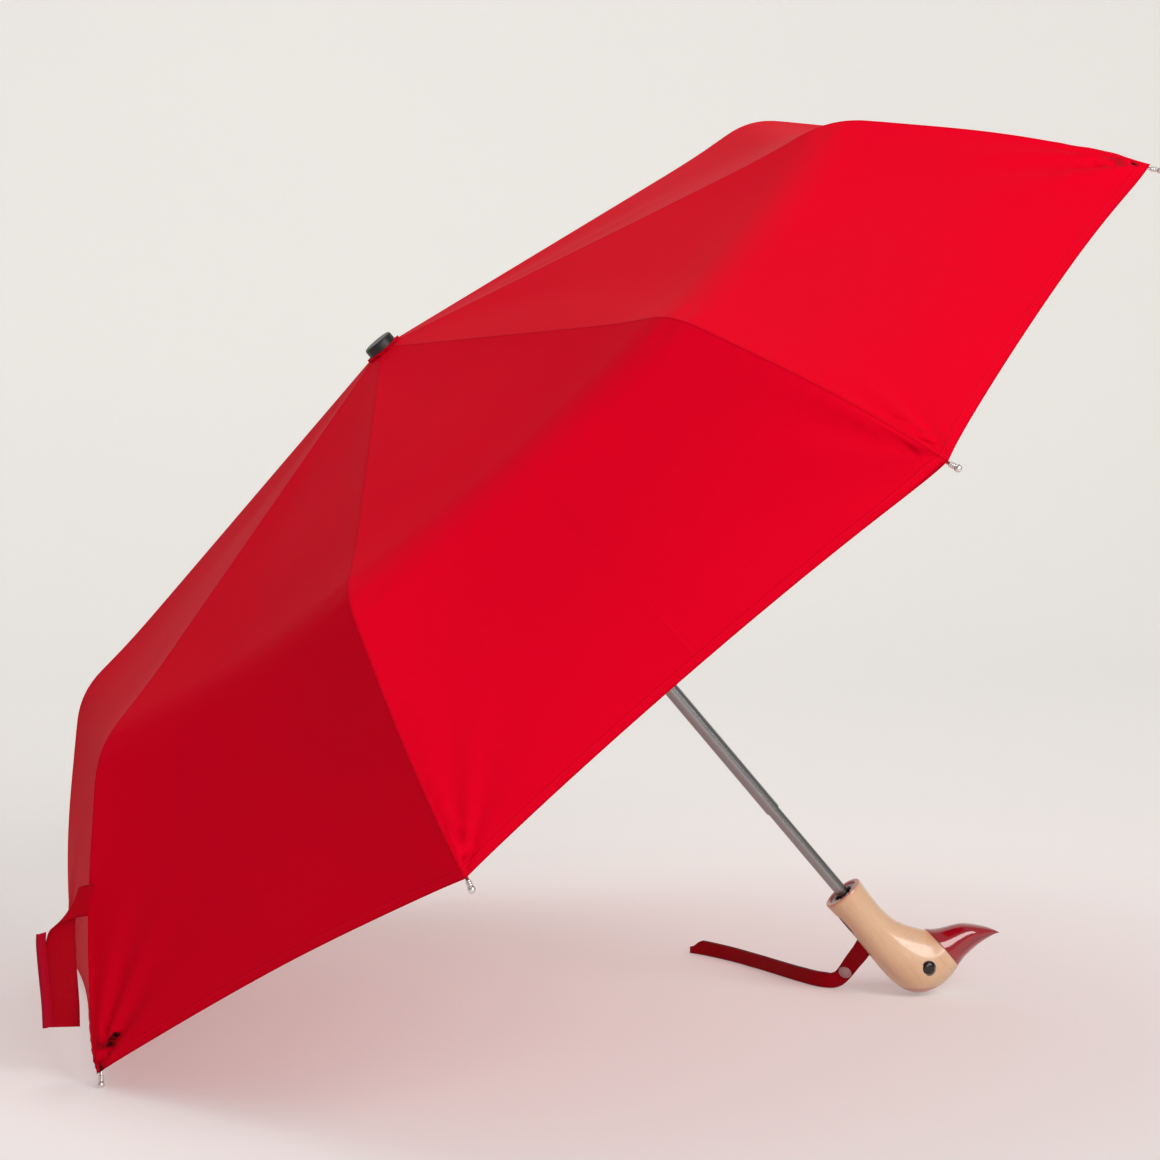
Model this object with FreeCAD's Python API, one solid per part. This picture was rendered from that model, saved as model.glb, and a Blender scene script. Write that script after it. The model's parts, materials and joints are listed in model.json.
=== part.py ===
"""Compact folding umbrella with a duck-head handle, standing open on two rib tips and its handle.

The umbrella is built upright in its own frame: the shaft is the Z axis, the crown is at the top, the
canopy's peak is the origin, and the duck's beak points along +X. Depths are measured down from the peak.
It is then leaned over until its two lowest rib tips and the duck's head touch the floor, Z = 0, and
moved along X until it is centred over the origin.
Each rib is drawn in the plane of +X and Z, and then turned about the shaft to its place.
"""

import FreeCAD, Part
import math
import os
from FreeCAD import Placement, Rotation, Vector

# Canopy: outer face of the fabric over each rib, from the peak to the bend and on to the corner.
rib_count = 8
bend_radius = 334.4
bend_depth = 64.8
corner_radius = 480.0
corner_depth = 211.0
fabric_thickness = 0.5
hem_dip = 22.0
soft_clearance = 0.3

# Shaft: three telescoping tubes, the widest at the crown.
upper_tube_radius = 5.85
tube_wall = 0.5
tube_gap = 0.25
upper_tube_end = 224.0
middle_tube_end = 420.0
tube_overlap = 20.0

# Cap, rosette and crown.
cap_radius = 10.5
cap_height = 5.2
cap_rounding = 1.6
cap_roof = 1.4
rosette_radius = 13.0
rosette_thickness = 0.8
crown_radius = 11.8
crown_pivot_radius = 9.2
crown_hub_radius = 7.4
crown_hub_height = 7.0

# Runner: the collar that slides on the upper tube and carries the stretchers.
runner_radius = 12.0
runner_pivot_radius = 9.6
runner_sleeve_radius = 7.8
runner_sleeve_height = 18.0
runner_foot_radius = 9.6
runner_foot_height = 2.5

# Rib hinges on the crown and the runner: a ring of wire through the ribs' eyes.
ring_wire_radius = 0.45
eye_radius = 1.4
eye_width = 2.2
collar_above_pivot = 1.2
collar_below_pivot = 3.2
runner_above_pivot = 2.4

# Ribs and stretchers: folded steel channels joined by rivets.
top_rib_length = 168.0
top_rib_width = 3.0
rib_depth = 3.0
sheet_wall = 0.5
mid_rib_end_run = 7.0
end_pivot_drop = 3.4
end_wire_radius = 1.1
stretcher_reach = 80.0
stretcher_depth = 2.6
stretcher_fork = 28.0
folded_runner_depth = 188.0
tongue_length = 5.0
rivet_radius = 0.7
rivet_head = 0.3
side_clearance = 0.4
pin_clearance = 0.05
tip_collar_radius = 1.9
tip_collar_length = 4.2
tip_ball_radius = 2.4
tip_length = 9.0

# How the ribs lie when the umbrella is folded: angles from the shaft, opening outwards.
top_rib_folded = 4.0
mid_rib_folded = 2.0
end_rib_folded = 0.5

# Handle: a turned wooden neck that swells into the duck's head.
rim_depth = 497.0
rim_radius = 14.45
neck_radius = 13.3
neck_below_rim = 33.0
head_start_below_rim = 71.0
head_below_rim = 76.0
head_radius = 21.5
head_offset = 8.0
head_half_width = 17.5
socket_radius = 10.8
socket_length = 45.0
socket_recess = 3.0
socket_mouth_radius = 8.6
socket_mouth_depth = 9.0
ring_thickness = 1.8
ring_inner_radius = 6.6
scallop_count = 12
scallop_radius = 1.1

# Cheeks and beak: ellipses across a line along +X, as distance out, depth below the
# rim, half height and half width.
beak_joint = 28.0
cheek_sections = [
    (2.0, 76.0, 16.0, 12.0),
    (10.0, 76.4, 19.8, 16.0),
    (18.0, 77.0, 20.2, 17.0),
    (beak_joint, 77.5, 17.5, 15.6),
]
beak_sections = [
    (beak_joint, 77.5, 17.5, 15.6),
    (33.9, 79.9, 13.5, 13.4),
    (40.0, 81.2, 11.6, 12.2),
    (45.0, 82.6, 10.3, 11.8),
    (51.0, 85.1, 8.4, 10.6),
    (57.2, 88.9, 5.6, 8.4),
    (62.0, 92.9, 2.9, 5.0),
    (65.4, 96.2, 0.6, 1.2),
]

# Eyes.
eye_ball_radius = 5.0
eye_height = 3.0
eye_offset = 10.8
eye_below_rim = 77.5

# Push button, on the side of the neck away from the beak.
button_below_rim = 19.0
button_length = 19.0
button_width = 9.4
button_face = 13.0
button_thickness = 4.4
button_travel = 2.6
button_clearance = 0.2
spring_radius = 2.3
spring_wire_radius = 0.25
spring_turns = 4
solid_spring_height = 1.2

# Wrist strap: a doubled ribbon that drops from the neck and lies on its edge on the floor.
riser_width = 13.0
riser_thickness = 2.0
strap_below_rim = 38.0
lying_height = 10.0
lying_thickness = 3.0
lying_route = [(0.0, 34.0), (-16.0, 31.0), (-31.0, 58.0), (-50.0, 98.0), (-66.0, 138.0), (-88.0, 166.0)]
snap_radius = 4.6
snap_thickness = 1.6
snap_place = 0.55

# Tie strap, sewn to the rib that stands lowest on the -Y side, about half-way down the skirt.
tie_rib = 4
tie_start = 0.47
tie_thickness = 1.0
tie_outline = [
    (-0.8, 10.0),
    (-8.7, 5.0),
    (-18.0, -12.4),
    (-26.1, -30.0),
    (-26.1, -81.5),
    (-9.3, -81.5),
    (-6.4, -66.0),
    (-11.8, -28.0),
    (-13.7, -11.8),
    (-0.8, -10.0),
]

# Worked out from the sizes above.
neck_depth = rim_depth + neck_below_rim
head_start_depth = rim_depth + head_start_below_rim
head_depth = rim_depth + head_below_rim
eye_depth = rim_depth + eye_below_rim
button_depth = rim_depth + button_below_rim
strap_depth = rim_depth + strap_below_rim
inner_slope = math.atan2(bend_depth, bend_radius)
outer_slope = math.atan2(corner_depth - bend_depth, corner_radius - bend_radius)
rib_step = 360.0 / rib_count
fabric_room = fabric_thickness + soft_clearance
rib_under_fabric = fabric_room + rib_depth / 2
fork_inner_width = top_rib_width + 2 * side_clearance
fork_width = fork_inner_width + 2 * sheet_wall
slot_width = eye_width + 2 * soft_clearance
eye_hole_radius = ring_wire_radius + 3 * pin_clearance
pivot_hole_radius = rivet_radius + pin_clearance
middle_tube_radius = upper_tube_radius - tube_wall - tube_gap
lower_tube_radius = middle_tube_radius - tube_wall - tube_gap
spigot_height = cap_height - cap_roof - pin_clearance
button_back = button_face - button_thickness
spring_seat = button_back - button_travel - solid_spring_height
pocket_length = button_length + 2 * button_clearance
pocket_width = button_width + 2 * button_clearance


def depth_under_fabric(radius, drop):
    """Depth of the line that runs under the inner part of the fabric, the given drop below it."""
    return radius * math.tan(inner_slope) + drop / math.cos(inner_slope)


# The skirt falls away on both sides of a rib, so what is as wide as a fork needs more room under it.
skirt_fall = (fork_width / 2 + rivet_head) * math.tan(math.radians(rib_step / 2)) * math.sin(outer_slope)
wire_under_fabric = rib_under_fabric + skirt_fall
crown_pivot_depth = depth_under_fabric(crown_pivot_radius, rib_under_fabric)
crown_top_depth = depth_under_fabric(crown_radius, fabric_room)


def along(start, slope, distance, drop=0.0):
    """The point that lies a distance along a line falling outwards at the slope, and a drop under it."""
    x = start[0] + distance * math.cos(slope) - drop * math.sin(slope)
    z = start[1] - distance * math.sin(slope) - drop * math.cos(slope)
    return x, z


crown_pivot = (crown_pivot_radius, -crown_pivot_depth)
rib_pivot = along(crown_pivot, inner_slope, top_rib_length)
stretcher_top = along(crown_pivot, inner_slope, stretcher_reach)
fold_angle = outer_slope - inner_slope
bend = (bend_radius, -bend_depth)
end_pivot_under_fabric = rib_under_fabric + end_pivot_drop
past_bend = (end_pivot_under_fabric * math.cos(fold_angle) - wire_under_fabric) / math.sin(fold_angle)
end_pivot = along(bend, inner_slope, past_bend, end_pivot_under_fabric)
mid_rib_length = math.dist(rib_pivot, along(bend, inner_slope, past_bend, rib_under_fabric))
corner = (corner_radius, -corner_depth)
wire_corner = along(corner, outer_slope, 0.0, wire_under_fabric)
end_wire_length = math.dist(end_pivot, wire_corner)
tip_end = along(wire_corner, outer_slope, tip_length - tip_ball_radius)

# The folded stretcher fixes its length and how far the runner travels.
folded_lean = math.radians(top_rib_folded)
folded_stretcher_top_radius = crown_pivot_radius + stretcher_reach * math.sin(folded_lean)
folded_stretcher_top_depth = crown_pivot_depth + stretcher_reach * math.cos(folded_lean)
stretcher_length = math.hypot(
    folded_stretcher_top_radius - runner_pivot_radius,
    folded_runner_depth - folded_stretcher_top_depth,
)
stretcher_spread = stretcher_top[0] - runner_pivot_radius
stretcher_rise = math.sqrt(stretcher_length**2 - stretcher_spread**2)
runner_pivot = (runner_pivot_radius, stretcher_top[1] - stretcher_rise)
stretcher_slope = -math.atan2(stretcher_rise, stretcher_spread)
runner_travel = folded_runner_depth + runner_pivot[1]

# Turns of each rib joint from open to folded, in degrees; positive turns the outer end downwards.
top_rib_turn = 90.0 - top_rib_folded - math.degrees(inner_slope)
mid_rib_turn = -(180.0 - top_rib_folded - mid_rib_folded)
end_rib_turn = 180.0 - mid_rib_folded - end_rib_folded - math.degrees(fold_angle)
folded_stretcher_lean = math.degrees(
    math.asin((folded_stretcher_top_radius - runner_pivot_radius) / stretcher_length)
)
stretcher_turn = -(90.0 - folded_stretcher_lean + math.degrees(stretcher_slope))

# How the umbrella leans: both contacts, the lowest rib tips and the head's ball, touch Z = 0.
lowest_rib = math.radians(rib_step / 2)
contact_run = tip_end[0] * math.cos(lowest_rib) + head_offset
contact_drop = head_depth + tip_end[1]
contact_step = head_radius - tip_ball_radius
shaft_slope = math.atan2(contact_run, contact_drop) - math.asin(
    contact_step / math.hypot(contact_run, contact_drop)
)
peak_height = head_depth * math.sin(shaft_slope) - head_offset * math.cos(shaft_slope) + head_radius

# The two lowest rib tips and the tie strap's outer edge end the part at -X, the highest rib tips at +X.
tie_radius = bend_radius + tie_start * (corner_radius - bend_radius)
tie_depth = bend_depth + tie_start * (corner_depth - bend_depth)
highest_end = tip_end[0] * math.cos(lowest_rib) * math.sin(shaft_slope) - tip_end[1] * math.cos(shaft_slope)
tie_seam = tie_depth * math.cos(shaft_slope) - tie_radius * math.cos(lowest_rib) * math.sin(shaft_slope)
tie_edge = min(x for x, z in tie_outline)
peak_place = -(highest_end + tip_ball_radius + tie_seam + tie_edge) / 2
lean = Placement(
    Vector(peak_place, 0, peak_height),
    Rotation(Vector(0, 1, 0), math.degrees(shaft_slope) - 90.0),
)


def save(name, *shapes):
    """Writes one node, as one solid or as a group of separate ones."""
    shape = shapes[0] if len(shapes) == 1 else Part.makeCompound(list(shapes))
    shape.exportStep("parts/" + name + ".step")


def leaned(shape):
    """The shape, moved from the upright frame to where it lies on the floor."""
    moved = shape.copy()
    moved.Placement = lean.multiply(moved.Placement)
    return moved


def save_leaned(name, *shapes):
    save(name, *[leaned(shape) for shape in shapes])


def cylinder(radius, low, high):
    """A cylinder about the shaft's axis between two heights."""
    return Part.makeCylinder(radius, high - low, Vector(0, 0, low))


def cross_pin(radius, width, place):
    """A cylinder across the rib's plane, centred on a point of it."""
    return Part.makeCylinder(radius, width, Vector(place[0], -width / 2, place[1]), Vector(0, 1, 0))


def beam(start, end, bottom, top, width, middle=0.0):
    """A box along X, from start to end, between two heights, centred across at the given Y."""
    return Part.makeBox(end - start, width, top - bottom, Vector(start, middle - width / 2, bottom))


def at_slope(shape, start, slope):
    """A shape drawn along +X from the origin, moved to a point of the rib's plane and sloped down."""
    shape.Placement = Placement(
        Vector(start[0], 0, start[1]), Rotation(Vector(0, 1, 0), math.degrees(slope))
    )
    return shape


def side_walls(width, depth, outline, pivots):
    """The two side walls of a channel, from an outline in the rib's plane, rounded at its pivots."""
    walls = []
    for middle in (-(width - sheet_wall) / 2, (width - sheet_wall) / 2):
        near = middle - sheet_wall / 2
        corners = [Vector(x, near, z) for x, z in outline]
        wall = Part.Face(Part.makePolygon(corners + corners[:1])).extrude(Vector(0, sheet_wall, 0))
        for x, z in pivots:
            wall = wall.fuse(Part.makeCylinder(depth / 2, sheet_wall, Vector(x, near, z), Vector(0, 1, 0)))
        walls.append(wall)
    return walls


def straight_walls(length, width, depth):
    """The two side walls of a straight channel with a pivot at each end."""
    half = depth / 2
    outline = [(0.0, half), (length, half), (length, -half), (0.0, -half)]
    return side_walls(width, depth, outline, [(0.0, 0.0), (length, 0.0)])


def tongue(length, depth):
    """The narrow inner end of a rib, from its eye on the wire ring out to the channel."""
    bar = beam(0.0, length + rib_depth, -depth / 2, depth / 2, eye_width)
    return bar.fuse(cross_pin(eye_radius, eye_width, (0.0, 0.0)))


def top_rib():
    """Channel open downwards, with its web against the fabric and its eye on the crown's wire."""
    walls = straight_walls(top_rib_length, top_rib_width, rib_depth)
    keep = beam(tongue_length, 2 * top_rib_length, -rib_depth, rib_depth, fork_width)
    web = beam(
        tongue_length, top_rib_length - rib_depth, rib_depth / 2 - sheet_wall, rib_depth / 2, top_rib_width
    )
    body = walls[0].fuse([walls[1], tongue(tongue_length, 2 * sheet_wall + 1.0)]).common(
        keep.fuse(beam(-rib_depth, tongue_length, -rib_depth, rib_depth, eye_width))
    )
    body = body.fuse(web).removeSplitter()
    body = body.cut(cross_pin(eye_hole_radius, fork_width, (0.0, 0.0)))
    body = body.cut(cross_pin(pivot_hole_radius, fork_width, (top_rib_length, 0.0)))
    body = body.cut(cross_pin(pivot_hole_radius, fork_width, (stretcher_reach, 0.0)))
    pin = cross_pin(rivet_radius, top_rib_width, (stretcher_reach, 0.0))
    return [at_slope(piece, crown_pivot, inner_slope) for piece in (body, pin)]


def rivet(place):
    """A rivet through a fork, with a low head on each side."""
    shank = cross_pin(rivet_radius, fork_width + 2 * rivet_head, place)
    for side in (-1, 1):
        start = Vector(place[0], side * (fork_width / 2 + pin_clearance), place[1])
        shank = shank.fuse(Part.makeCylinder(2 * rivet_radius, rivet_head, start, Vector(0, side, 0)))
    return shank


def mid_rib():
    """Channel open upwards that straddles the top rib when folded, with ears for the end rib."""
    half = rib_depth / 2
    ear_start = mid_rib_length - mid_rib_end_run
    before_bend = (fabric_room + skirt_fall - fabric_room * math.cos(fold_angle)) / math.sin(fold_angle)
    top_end = mid_rib_length - past_bend - before_bend
    outline = [
        (0.0, half),
        (top_end, half),
        (mid_rib_length + half * math.sin(fold_angle), half * math.cos(fold_angle) - end_pivot_drop),
        (mid_rib_length, -half - end_pivot_drop),
        (ear_start, -half),
        (0.0, -half),
    ]
    pivots = [(0.0, 0.0), (mid_rib_length, -end_pivot_drop)]
    walls = side_walls(fork_width, rib_depth, outline, pivots)
    web = beam(2 * rib_depth, ear_start, -half, sheet_wall - half, fork_width)
    body = walls[0].fuse([walls[1], web]).removeSplitter()
    for place in pivots:
        body = body.cut(cross_pin(pivot_hole_radius, 2 * fork_width, place))
    pieces = [body] + [rivet(place) for place in pivots]
    return [at_slope(piece, rib_pivot, inner_slope) for piece in pieces]


def end_rib():
    """Outer rib of round wire, with an eye between the mid rib's ears and a metal tip."""
    eye = cross_pin(rib_depth / 2, top_rib_width, (0.0, 0.0))
    collar_start = Vector(end_wire_length + fabric_room, 0, 0)
    collar = Part.makeCylinder(tip_collar_radius, tip_collar_length, collar_start, Vector(1, 0, 0))
    ball_place = end_wire_length + tip_length - tip_ball_radius
    wire = Part.makeCylinder(end_wire_radius, ball_place, Vector(0, 0, 0), Vector(1, 0, 0))
    ball = Part.makeSphere(tip_ball_radius, Vector(ball_place, 0, 0))
    body = wire.fuse([eye, collar, ball]).removeSplitter()
    body = body.cut(cross_pin(pivot_hole_radius, fork_width, (0.0, 0.0)))
    return at_slope(body, end_pivot, outer_slope)


def stretcher():
    """Channel wider than the top rib, forked at its outer end so that the rib can lie inside it."""
    walls = straight_walls(stretcher_length, fork_width, stretcher_depth)
    start = 2 * tongue_length
    block = beam(start - 2.0, start + 2.0, -stretcher_depth / 2, stretcher_depth / 2, fork_width)
    web = beam(
        start,
        stretcher_length - stretcher_fork,
        -stretcher_depth / 2,
        sheet_wall - stretcher_depth / 2,
        fork_width,
    )
    keep = beam(start - 2.0, 2 * stretcher_length, -stretcher_depth, stretcher_depth, 2 * fork_width)
    body = walls[0].fuse(walls[1]).common(keep)
    body = body.fuse([web, block, tongue(start, 2 * sheet_wall + 1.0)]).removeSplitter()
    body = body.cut(cross_pin(eye_hole_radius, fork_width, (0.0, 0.0)))
    body = body.cut(cross_pin(pivot_hole_radius, 2 * fork_width, (stretcher_length, 0.0)))
    return at_slope(body, runner_pivot, stretcher_slope)


def around(shape, index):
    """The shape, turned from the +X plane to the rib with this number."""
    turned = shape.copy()
    turn = Placement(Vector(), Rotation(Vector(0, 0, 1), rib_step * (index + 0.5)))
    turned.Placement = turn.multiply(turned.Placement)
    return turned


def slotted_ring(radius, pivot, hub_radius, low, high):
    """A ring with one slot for each rib, and a groove for the wire that the ribs hang on."""
    ring = cylinder(radius, low, high)
    for index in range(rib_count):
        slot = beam(hub_radius, 2 * radius, low, high + 1.0, slot_width)
        slot.Placement = Placement(Vector(), Rotation(Vector(0, 0, 1), rib_step * (index + 0.5)))
        ring = ring.cut(slot)
    return ring.cut(wire_ring(pivot, ring_wire_radius + pin_clearance))


def wire_ring(pivot, radius=ring_wire_radius):
    return Part.makeTorus(pivot[0], radius, Vector(0, 0, pivot[1]))


def crown():
    top = -crown_top_depth
    bottom = crown_pivot[1] - collar_below_pivot
    ring = slotted_ring(crown_radius, crown_pivot, crown_hub_radius, bottom, top)
    hub = cylinder(crown_hub_radius, bottom - crown_hub_height, bottom)
    bore = cylinder(upper_tube_radius + pin_clearance, -2 * upper_tube_end, upper_tube_end)
    return ring.fuse(hub).removeSplitter().cut(bore)


def runner():
    top = runner_pivot[1] + runner_above_pivot
    ring_bottom = runner_pivot[1] - collar_below_pivot
    foot_top = ring_bottom - runner_sleeve_height
    ring = slotted_ring(runner_radius, runner_pivot, runner_sleeve_radius, ring_bottom, top)
    sleeve = cylinder(runner_sleeve_radius, foot_top, ring_bottom)
    foot = cylinder(runner_foot_radius, foot_top - runner_foot_height, foot_top)
    bore = cylinder(upper_tube_radius + 2 * pin_clearance, -2 * upper_tube_end, 0.0)
    return ring.fuse([sleeve, foot]).removeSplitter().cut(bore)


def tube(radius, top_depth, bottom_depth):
    outer = cylinder(radius, -bottom_depth, -top_depth)
    return outer.cut(cylinder(radius - tube_wall, -bottom_depth - 1.0, -top_depth + 1.0))


def revolved(points):
    """A solid of revolution about the shaft's axis from the outline's (radius, height) points."""
    corners = [Vector(x, 0, z) for x, z in points]
    face = Part.Face(Part.makePolygon(corners + corners[:1]))
    return face.revolve(Vector(0, 0, 0), Vector(0, 0, 1), 360)


def height_over_fabric(radius, rise):
    return -radius * math.tan(inner_slope) + rise


def rosette():
    """Cone of fabric between the canopy's peak and the cap."""
    hole = upper_tube_radius + soft_clearance
    low = soft_clearance
    high = soft_clearance + rosette_thickness
    return revolved(
        [
            (hole, height_over_fabric(hole, low)),
            (rosette_radius, height_over_fabric(rosette_radius, low)),
            (rosette_radius, height_over_fabric(rosette_radius, high)),
            (hole, height_over_fabric(hole, high)),
        ]
    )


def cap():
    """Screw cap with a hollow underside that sits on the rosette."""
    under = 2 * soft_clearance + rosette_thickness
    bore = upper_tube_radius + pin_clearance
    body = revolved(
        [
            (0.0, cap_height),
            (0.0, cap_height - cap_roof),
            (bore, cap_height - cap_roof),
            (bore, height_over_fabric(bore, under)),
            (cap_radius, height_over_fabric(cap_radius, under)),
            (cap_radius, cap_height),
        ]
    )
    rim = [e for e in body.Edges if e.BoundBox.ZMin > cap_height - 0.01 and e.BoundBox.XMax > bore]
    return body.makeFillet(cap_rounding, rim)


def rib_point(radius, depth, angle):
    return Vector(radius * math.cos(angle), radius * math.sin(angle), -depth)


def panel(index):
    """One gore of the canopy between two ribs: a flat inner triangle and a flat skirt that meets it."""
    first = math.radians(rib_step * (index + 0.5))
    second = first + math.radians(rib_step)
    hole = (upper_tube_radius + soft_clearance) / math.cos(math.radians(rib_step / 2))
    hole_depth = hole * math.tan(inner_slope)
    bends = [rib_point(bend_radius, bend_depth, angle) for angle in (first, second)]
    corners = [rib_point(corner_radius, corner_depth, angle) for angle in (first, second)]
    peak = [rib_point(hole, hole_depth, angle) for angle in (first, second)]
    inner = [peak[0], bends[0], bends[1], peak[1]]
    middle_corner = (corners[0] + corners[1]) * 0.5
    middle_bend = (bends[0] + bends[1]) * 0.5
    inwards = (middle_bend - middle_corner).normalize()
    hem = Part.Arc(corners[0], middle_corner + inwards * hem_dip, corners[1]).toShape()
    sides = [Part.makeLine(corners[1], bends[1]), Part.makeLine(bends[1], bends[0])]
    sides.append(Part.makeLine(bends[0], corners[0]))
    skirt = Part.Face(Part.Wire([hem] + sides))
    down = Vector(0, 0, -fabric_thickness)
    top = Part.Face(Part.makePolygon(inner + inner[:1]))
    return top.extrude(down), skirt.extrude(down)


def tie_strap():
    """Strap sewn to a rib's seam, turned down and hanging straight; its face looks along Y."""
    seam = lean.multVec(rib_point(tie_radius, tie_depth, math.radians(rib_step * (tie_rib + 0.5))))
    corners = [seam + Vector(x, -tie_thickness / 2, z) for x, z in tie_outline]
    return Part.Face(Part.makePolygon(corners + corners[:1])).extrude(Vector(0, tie_thickness, 0))


def smooth(share):
    """Eases from 0 to 1 with no slope at either end."""
    share = min(max(share, 0.0), 1.0)
    return share * share * (3 - 2 * share)


def head_section(depth):
    """Offset, half height and half width of the wooden body across the shaft's axis at a depth."""
    swell = smooth((depth - neck_depth) / (head_start_depth - neck_depth))
    waist = smooth((depth - rim_depth) / (neck_depth - rim_depth))
    round_radius = rim_radius + (neck_radius - rim_radius) * waist
    end = max(depth - head_depth, 0.0) / head_radius
    shrink = math.sqrt(max(1.0 - end * end, 0.0))
    offset = head_offset * swell
    half_height = (round_radius + (head_radius - neck_radius) * swell) * shrink
    half_width = (round_radius + (head_half_width - neck_radius) * swell) * shrink
    return offset, half_height, half_width


def head_body():
    """Neck and head through ellipses across the shaft's axis, with the cheeks that carry the beak."""
    depths = [rim_depth + (neck_depth - rim_depth) * i / 3 for i in range(4)]
    depths += [neck_depth + (head_depth - neck_depth) * i / 5 for i in range(1, 6)]
    depths += [head_depth + head_radius * math.sin(math.radians(a)) for a in (20, 40, 58, 72, 82, 87.5)]
    wires = []
    for depth in depths:
        offset, half_height, half_width = head_section(depth)
        wires.append(section_wire(Vector(offset, 0, -depth), half_height, half_width))
    beyond_joint = beam(beak_joint, 2 * beak_joint, -2 * head_depth, 0.0, 4 * head_radius)
    return Part.makeLoft(wires, True, False).fuse(crosswise_loft(cheek_sections)).cut(beyond_joint)


def section_wire(centre, half_x, half_y, count=16):
    """A closed smooth curve through points of an ellipse, all starting on the same side."""
    points = []
    for i in range(count):
        angle = 2 * math.pi * i / count
        points.append(centre + Vector(half_x * math.cos(angle), half_y * math.sin(angle), 0))
    curve = Part.BSplineCurve()
    curve.interpolate(Points=points, PeriodicFlag=True)
    return Part.Wire([curve.toShape()])


def button_block(length, width, near, far):
    """A round-ended block along the neck, between two distances from the axis on the -X side."""
    straight = length - width
    corner = Vector(-far, -width / 2, -button_depth - straight / 2)
    block = Part.makeBox(far - near, width, straight, corner)
    for end in (-1, 1):
        place = Vector(-far, 0, -button_depth + end * straight / 2)
        block = block.fuse(Part.makeCylinder(width / 2, far - near, place, Vector(1, 0, 0)))
    return block.removeSplitter()


def handle_body(body):
    bore = cylinder(socket_radius + pin_clearance, -rim_depth - socket_length, 0.0)
    pocket = button_block(pocket_length, pocket_width, spring_seat, 2 * rim_radius)
    return body.cut(bore).cut(pocket)


def socket_insert():
    """Plastic sleeve that holds the lower tube in the wooden neck and backs the button's spring."""
    top = -rim_depth - socket_recess
    bottom = -rim_depth - socket_length
    sleeve = cylinder(socket_radius, bottom, top)
    mouth = cylinder(socket_mouth_radius, top - socket_mouth_depth + socket_recess, top + 1.0)
    bore = cylinder(lower_tube_radius + pin_clearance, bottom - 1.0, top + 1.0)
    pocket = button_block(pocket_length, pocket_width, spring_seat, 2 * rim_radius)
    return sleeve.cut(mouth).cut(bore).cut(pocket)


def socket_ring():
    """Thin metal ring in the mouth of the neck, with scallops round its hole."""
    top = -rim_depth - socket_recess + ring_thickness + pin_clearance
    ring = cylinder(socket_radius, top - ring_thickness, top)
    ring = ring.cut(cylinder(ring_inner_radius, top - ring_thickness, top))
    for index in range(scallop_count):
        angle = 2 * math.pi * index / scallop_count
        place = Vector(ring_inner_radius * math.cos(angle), ring_inner_radius * math.sin(angle), top)
        ring = ring.cut(Part.makeCylinder(scallop_radius, ring_thickness, place, Vector(0, 0, -1)))
    return ring


def button_spring():
    """Small coil spring between the button and the socket insert."""
    free = button_back - spring_seat - 2 * spring_wire_radius - 2 * pin_clearance
    helix = Part.makeHelix(free / spring_turns, free, spring_radius)
    corners = []
    for i in range(7):
        angle = math.radians(60 * i)
        out = spring_radius + spring_wire_radius * math.cos(angle)
        corners.append(Vector(out, 0, spring_wire_radius * math.sin(angle)))
    coil = Part.Wire(helix.Edges).makePipeShell([Part.makePolygon(corners)], True, True)
    base = -spring_seat - spring_wire_radius - pin_clearance
    coil.Placement = Placement(Vector(base, 0, -button_depth), Rotation(Vector(0, 1, 0), -90))
    return coil


def crosswise_loft(sections):
    """A smooth solid through ellipses that stand across a line along +X."""
    wires = []
    for out, depth, half_height, half_width in sections:
        wire = section_wire(Vector(0, 0, 0), half_height, half_width)
        wire.Placement = Placement(Vector(out, 0, -rim_depth - depth), Rotation(Vector(0, 1, 0), 90))
        wires.append(wire)
    return Part.makeLoft(wires, True, False)


def eyes(head):
    """Two glossy domes, one on each side of the head."""
    centre_y = head_half_width - eye_ball_radius + eye_height
    domes = []
    for side in (-1, 1):
        ball = Part.makeSphere(eye_ball_radius, Vector(eye_offset, side * centre_y, -eye_depth))
        domes.append(ball.cut(head))
    return domes


def wrist_strap():
    """Ribbon dropping from the neck to the floor, where it lies on its edge, and its press stud."""
    hang = lean.multVec(Vector(-neck_radius, 0, -strap_depth))
    route = [Vector(hang.x + x, y, soft_clearance) for x, y in lying_route]
    lying = Part.makeCylinder(lying_thickness / 2, lying_height, route[0])
    for start, end in zip(route[:-1], route[1:]):
        run = end - start
        wall = Part.makeBox(run.Length, lying_thickness, lying_height, Vector(0, -lying_thickness / 2, 0))
        wall.Placement = Placement(start, Rotation(Vector(1, 0, 0), run))
        lying = lying.fuse([wall, Part.makeCylinder(lying_thickness / 2, lying_height, end)])
    drop = hang - route[0]
    corner = Vector(-riser_width / 2, -riser_thickness / 2, 0)
    riser = Part.makeBox(riser_width, riser_thickness, drop.Length, corner)
    upright = Placement(route[0], Rotation(Vector(0, 0, 1), drop))
    riser.Placement = upright
    below = Vector(route[0].x - 50, route[0].y - 50, soft_clearance - 50)
    floor = Part.makeBox(100, 100, 50, below)
    neck = leaned(cylinder(neck_radius + 2 * soft_clearance, -head_depth, -rim_depth))
    riser = riser.cut(floor.fuse(neck))
    snap_start = Vector(0, -riser_thickness / 2 - snap_thickness - pin_clearance, drop.Length * snap_place)
    snap = Part.makeCylinder(snap_radius, snap_thickness, snap_start, Vector(0, 1, 0))
    snap.Placement = upright
    return lying.fuse(riser).removeSplitter(), snap


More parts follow.
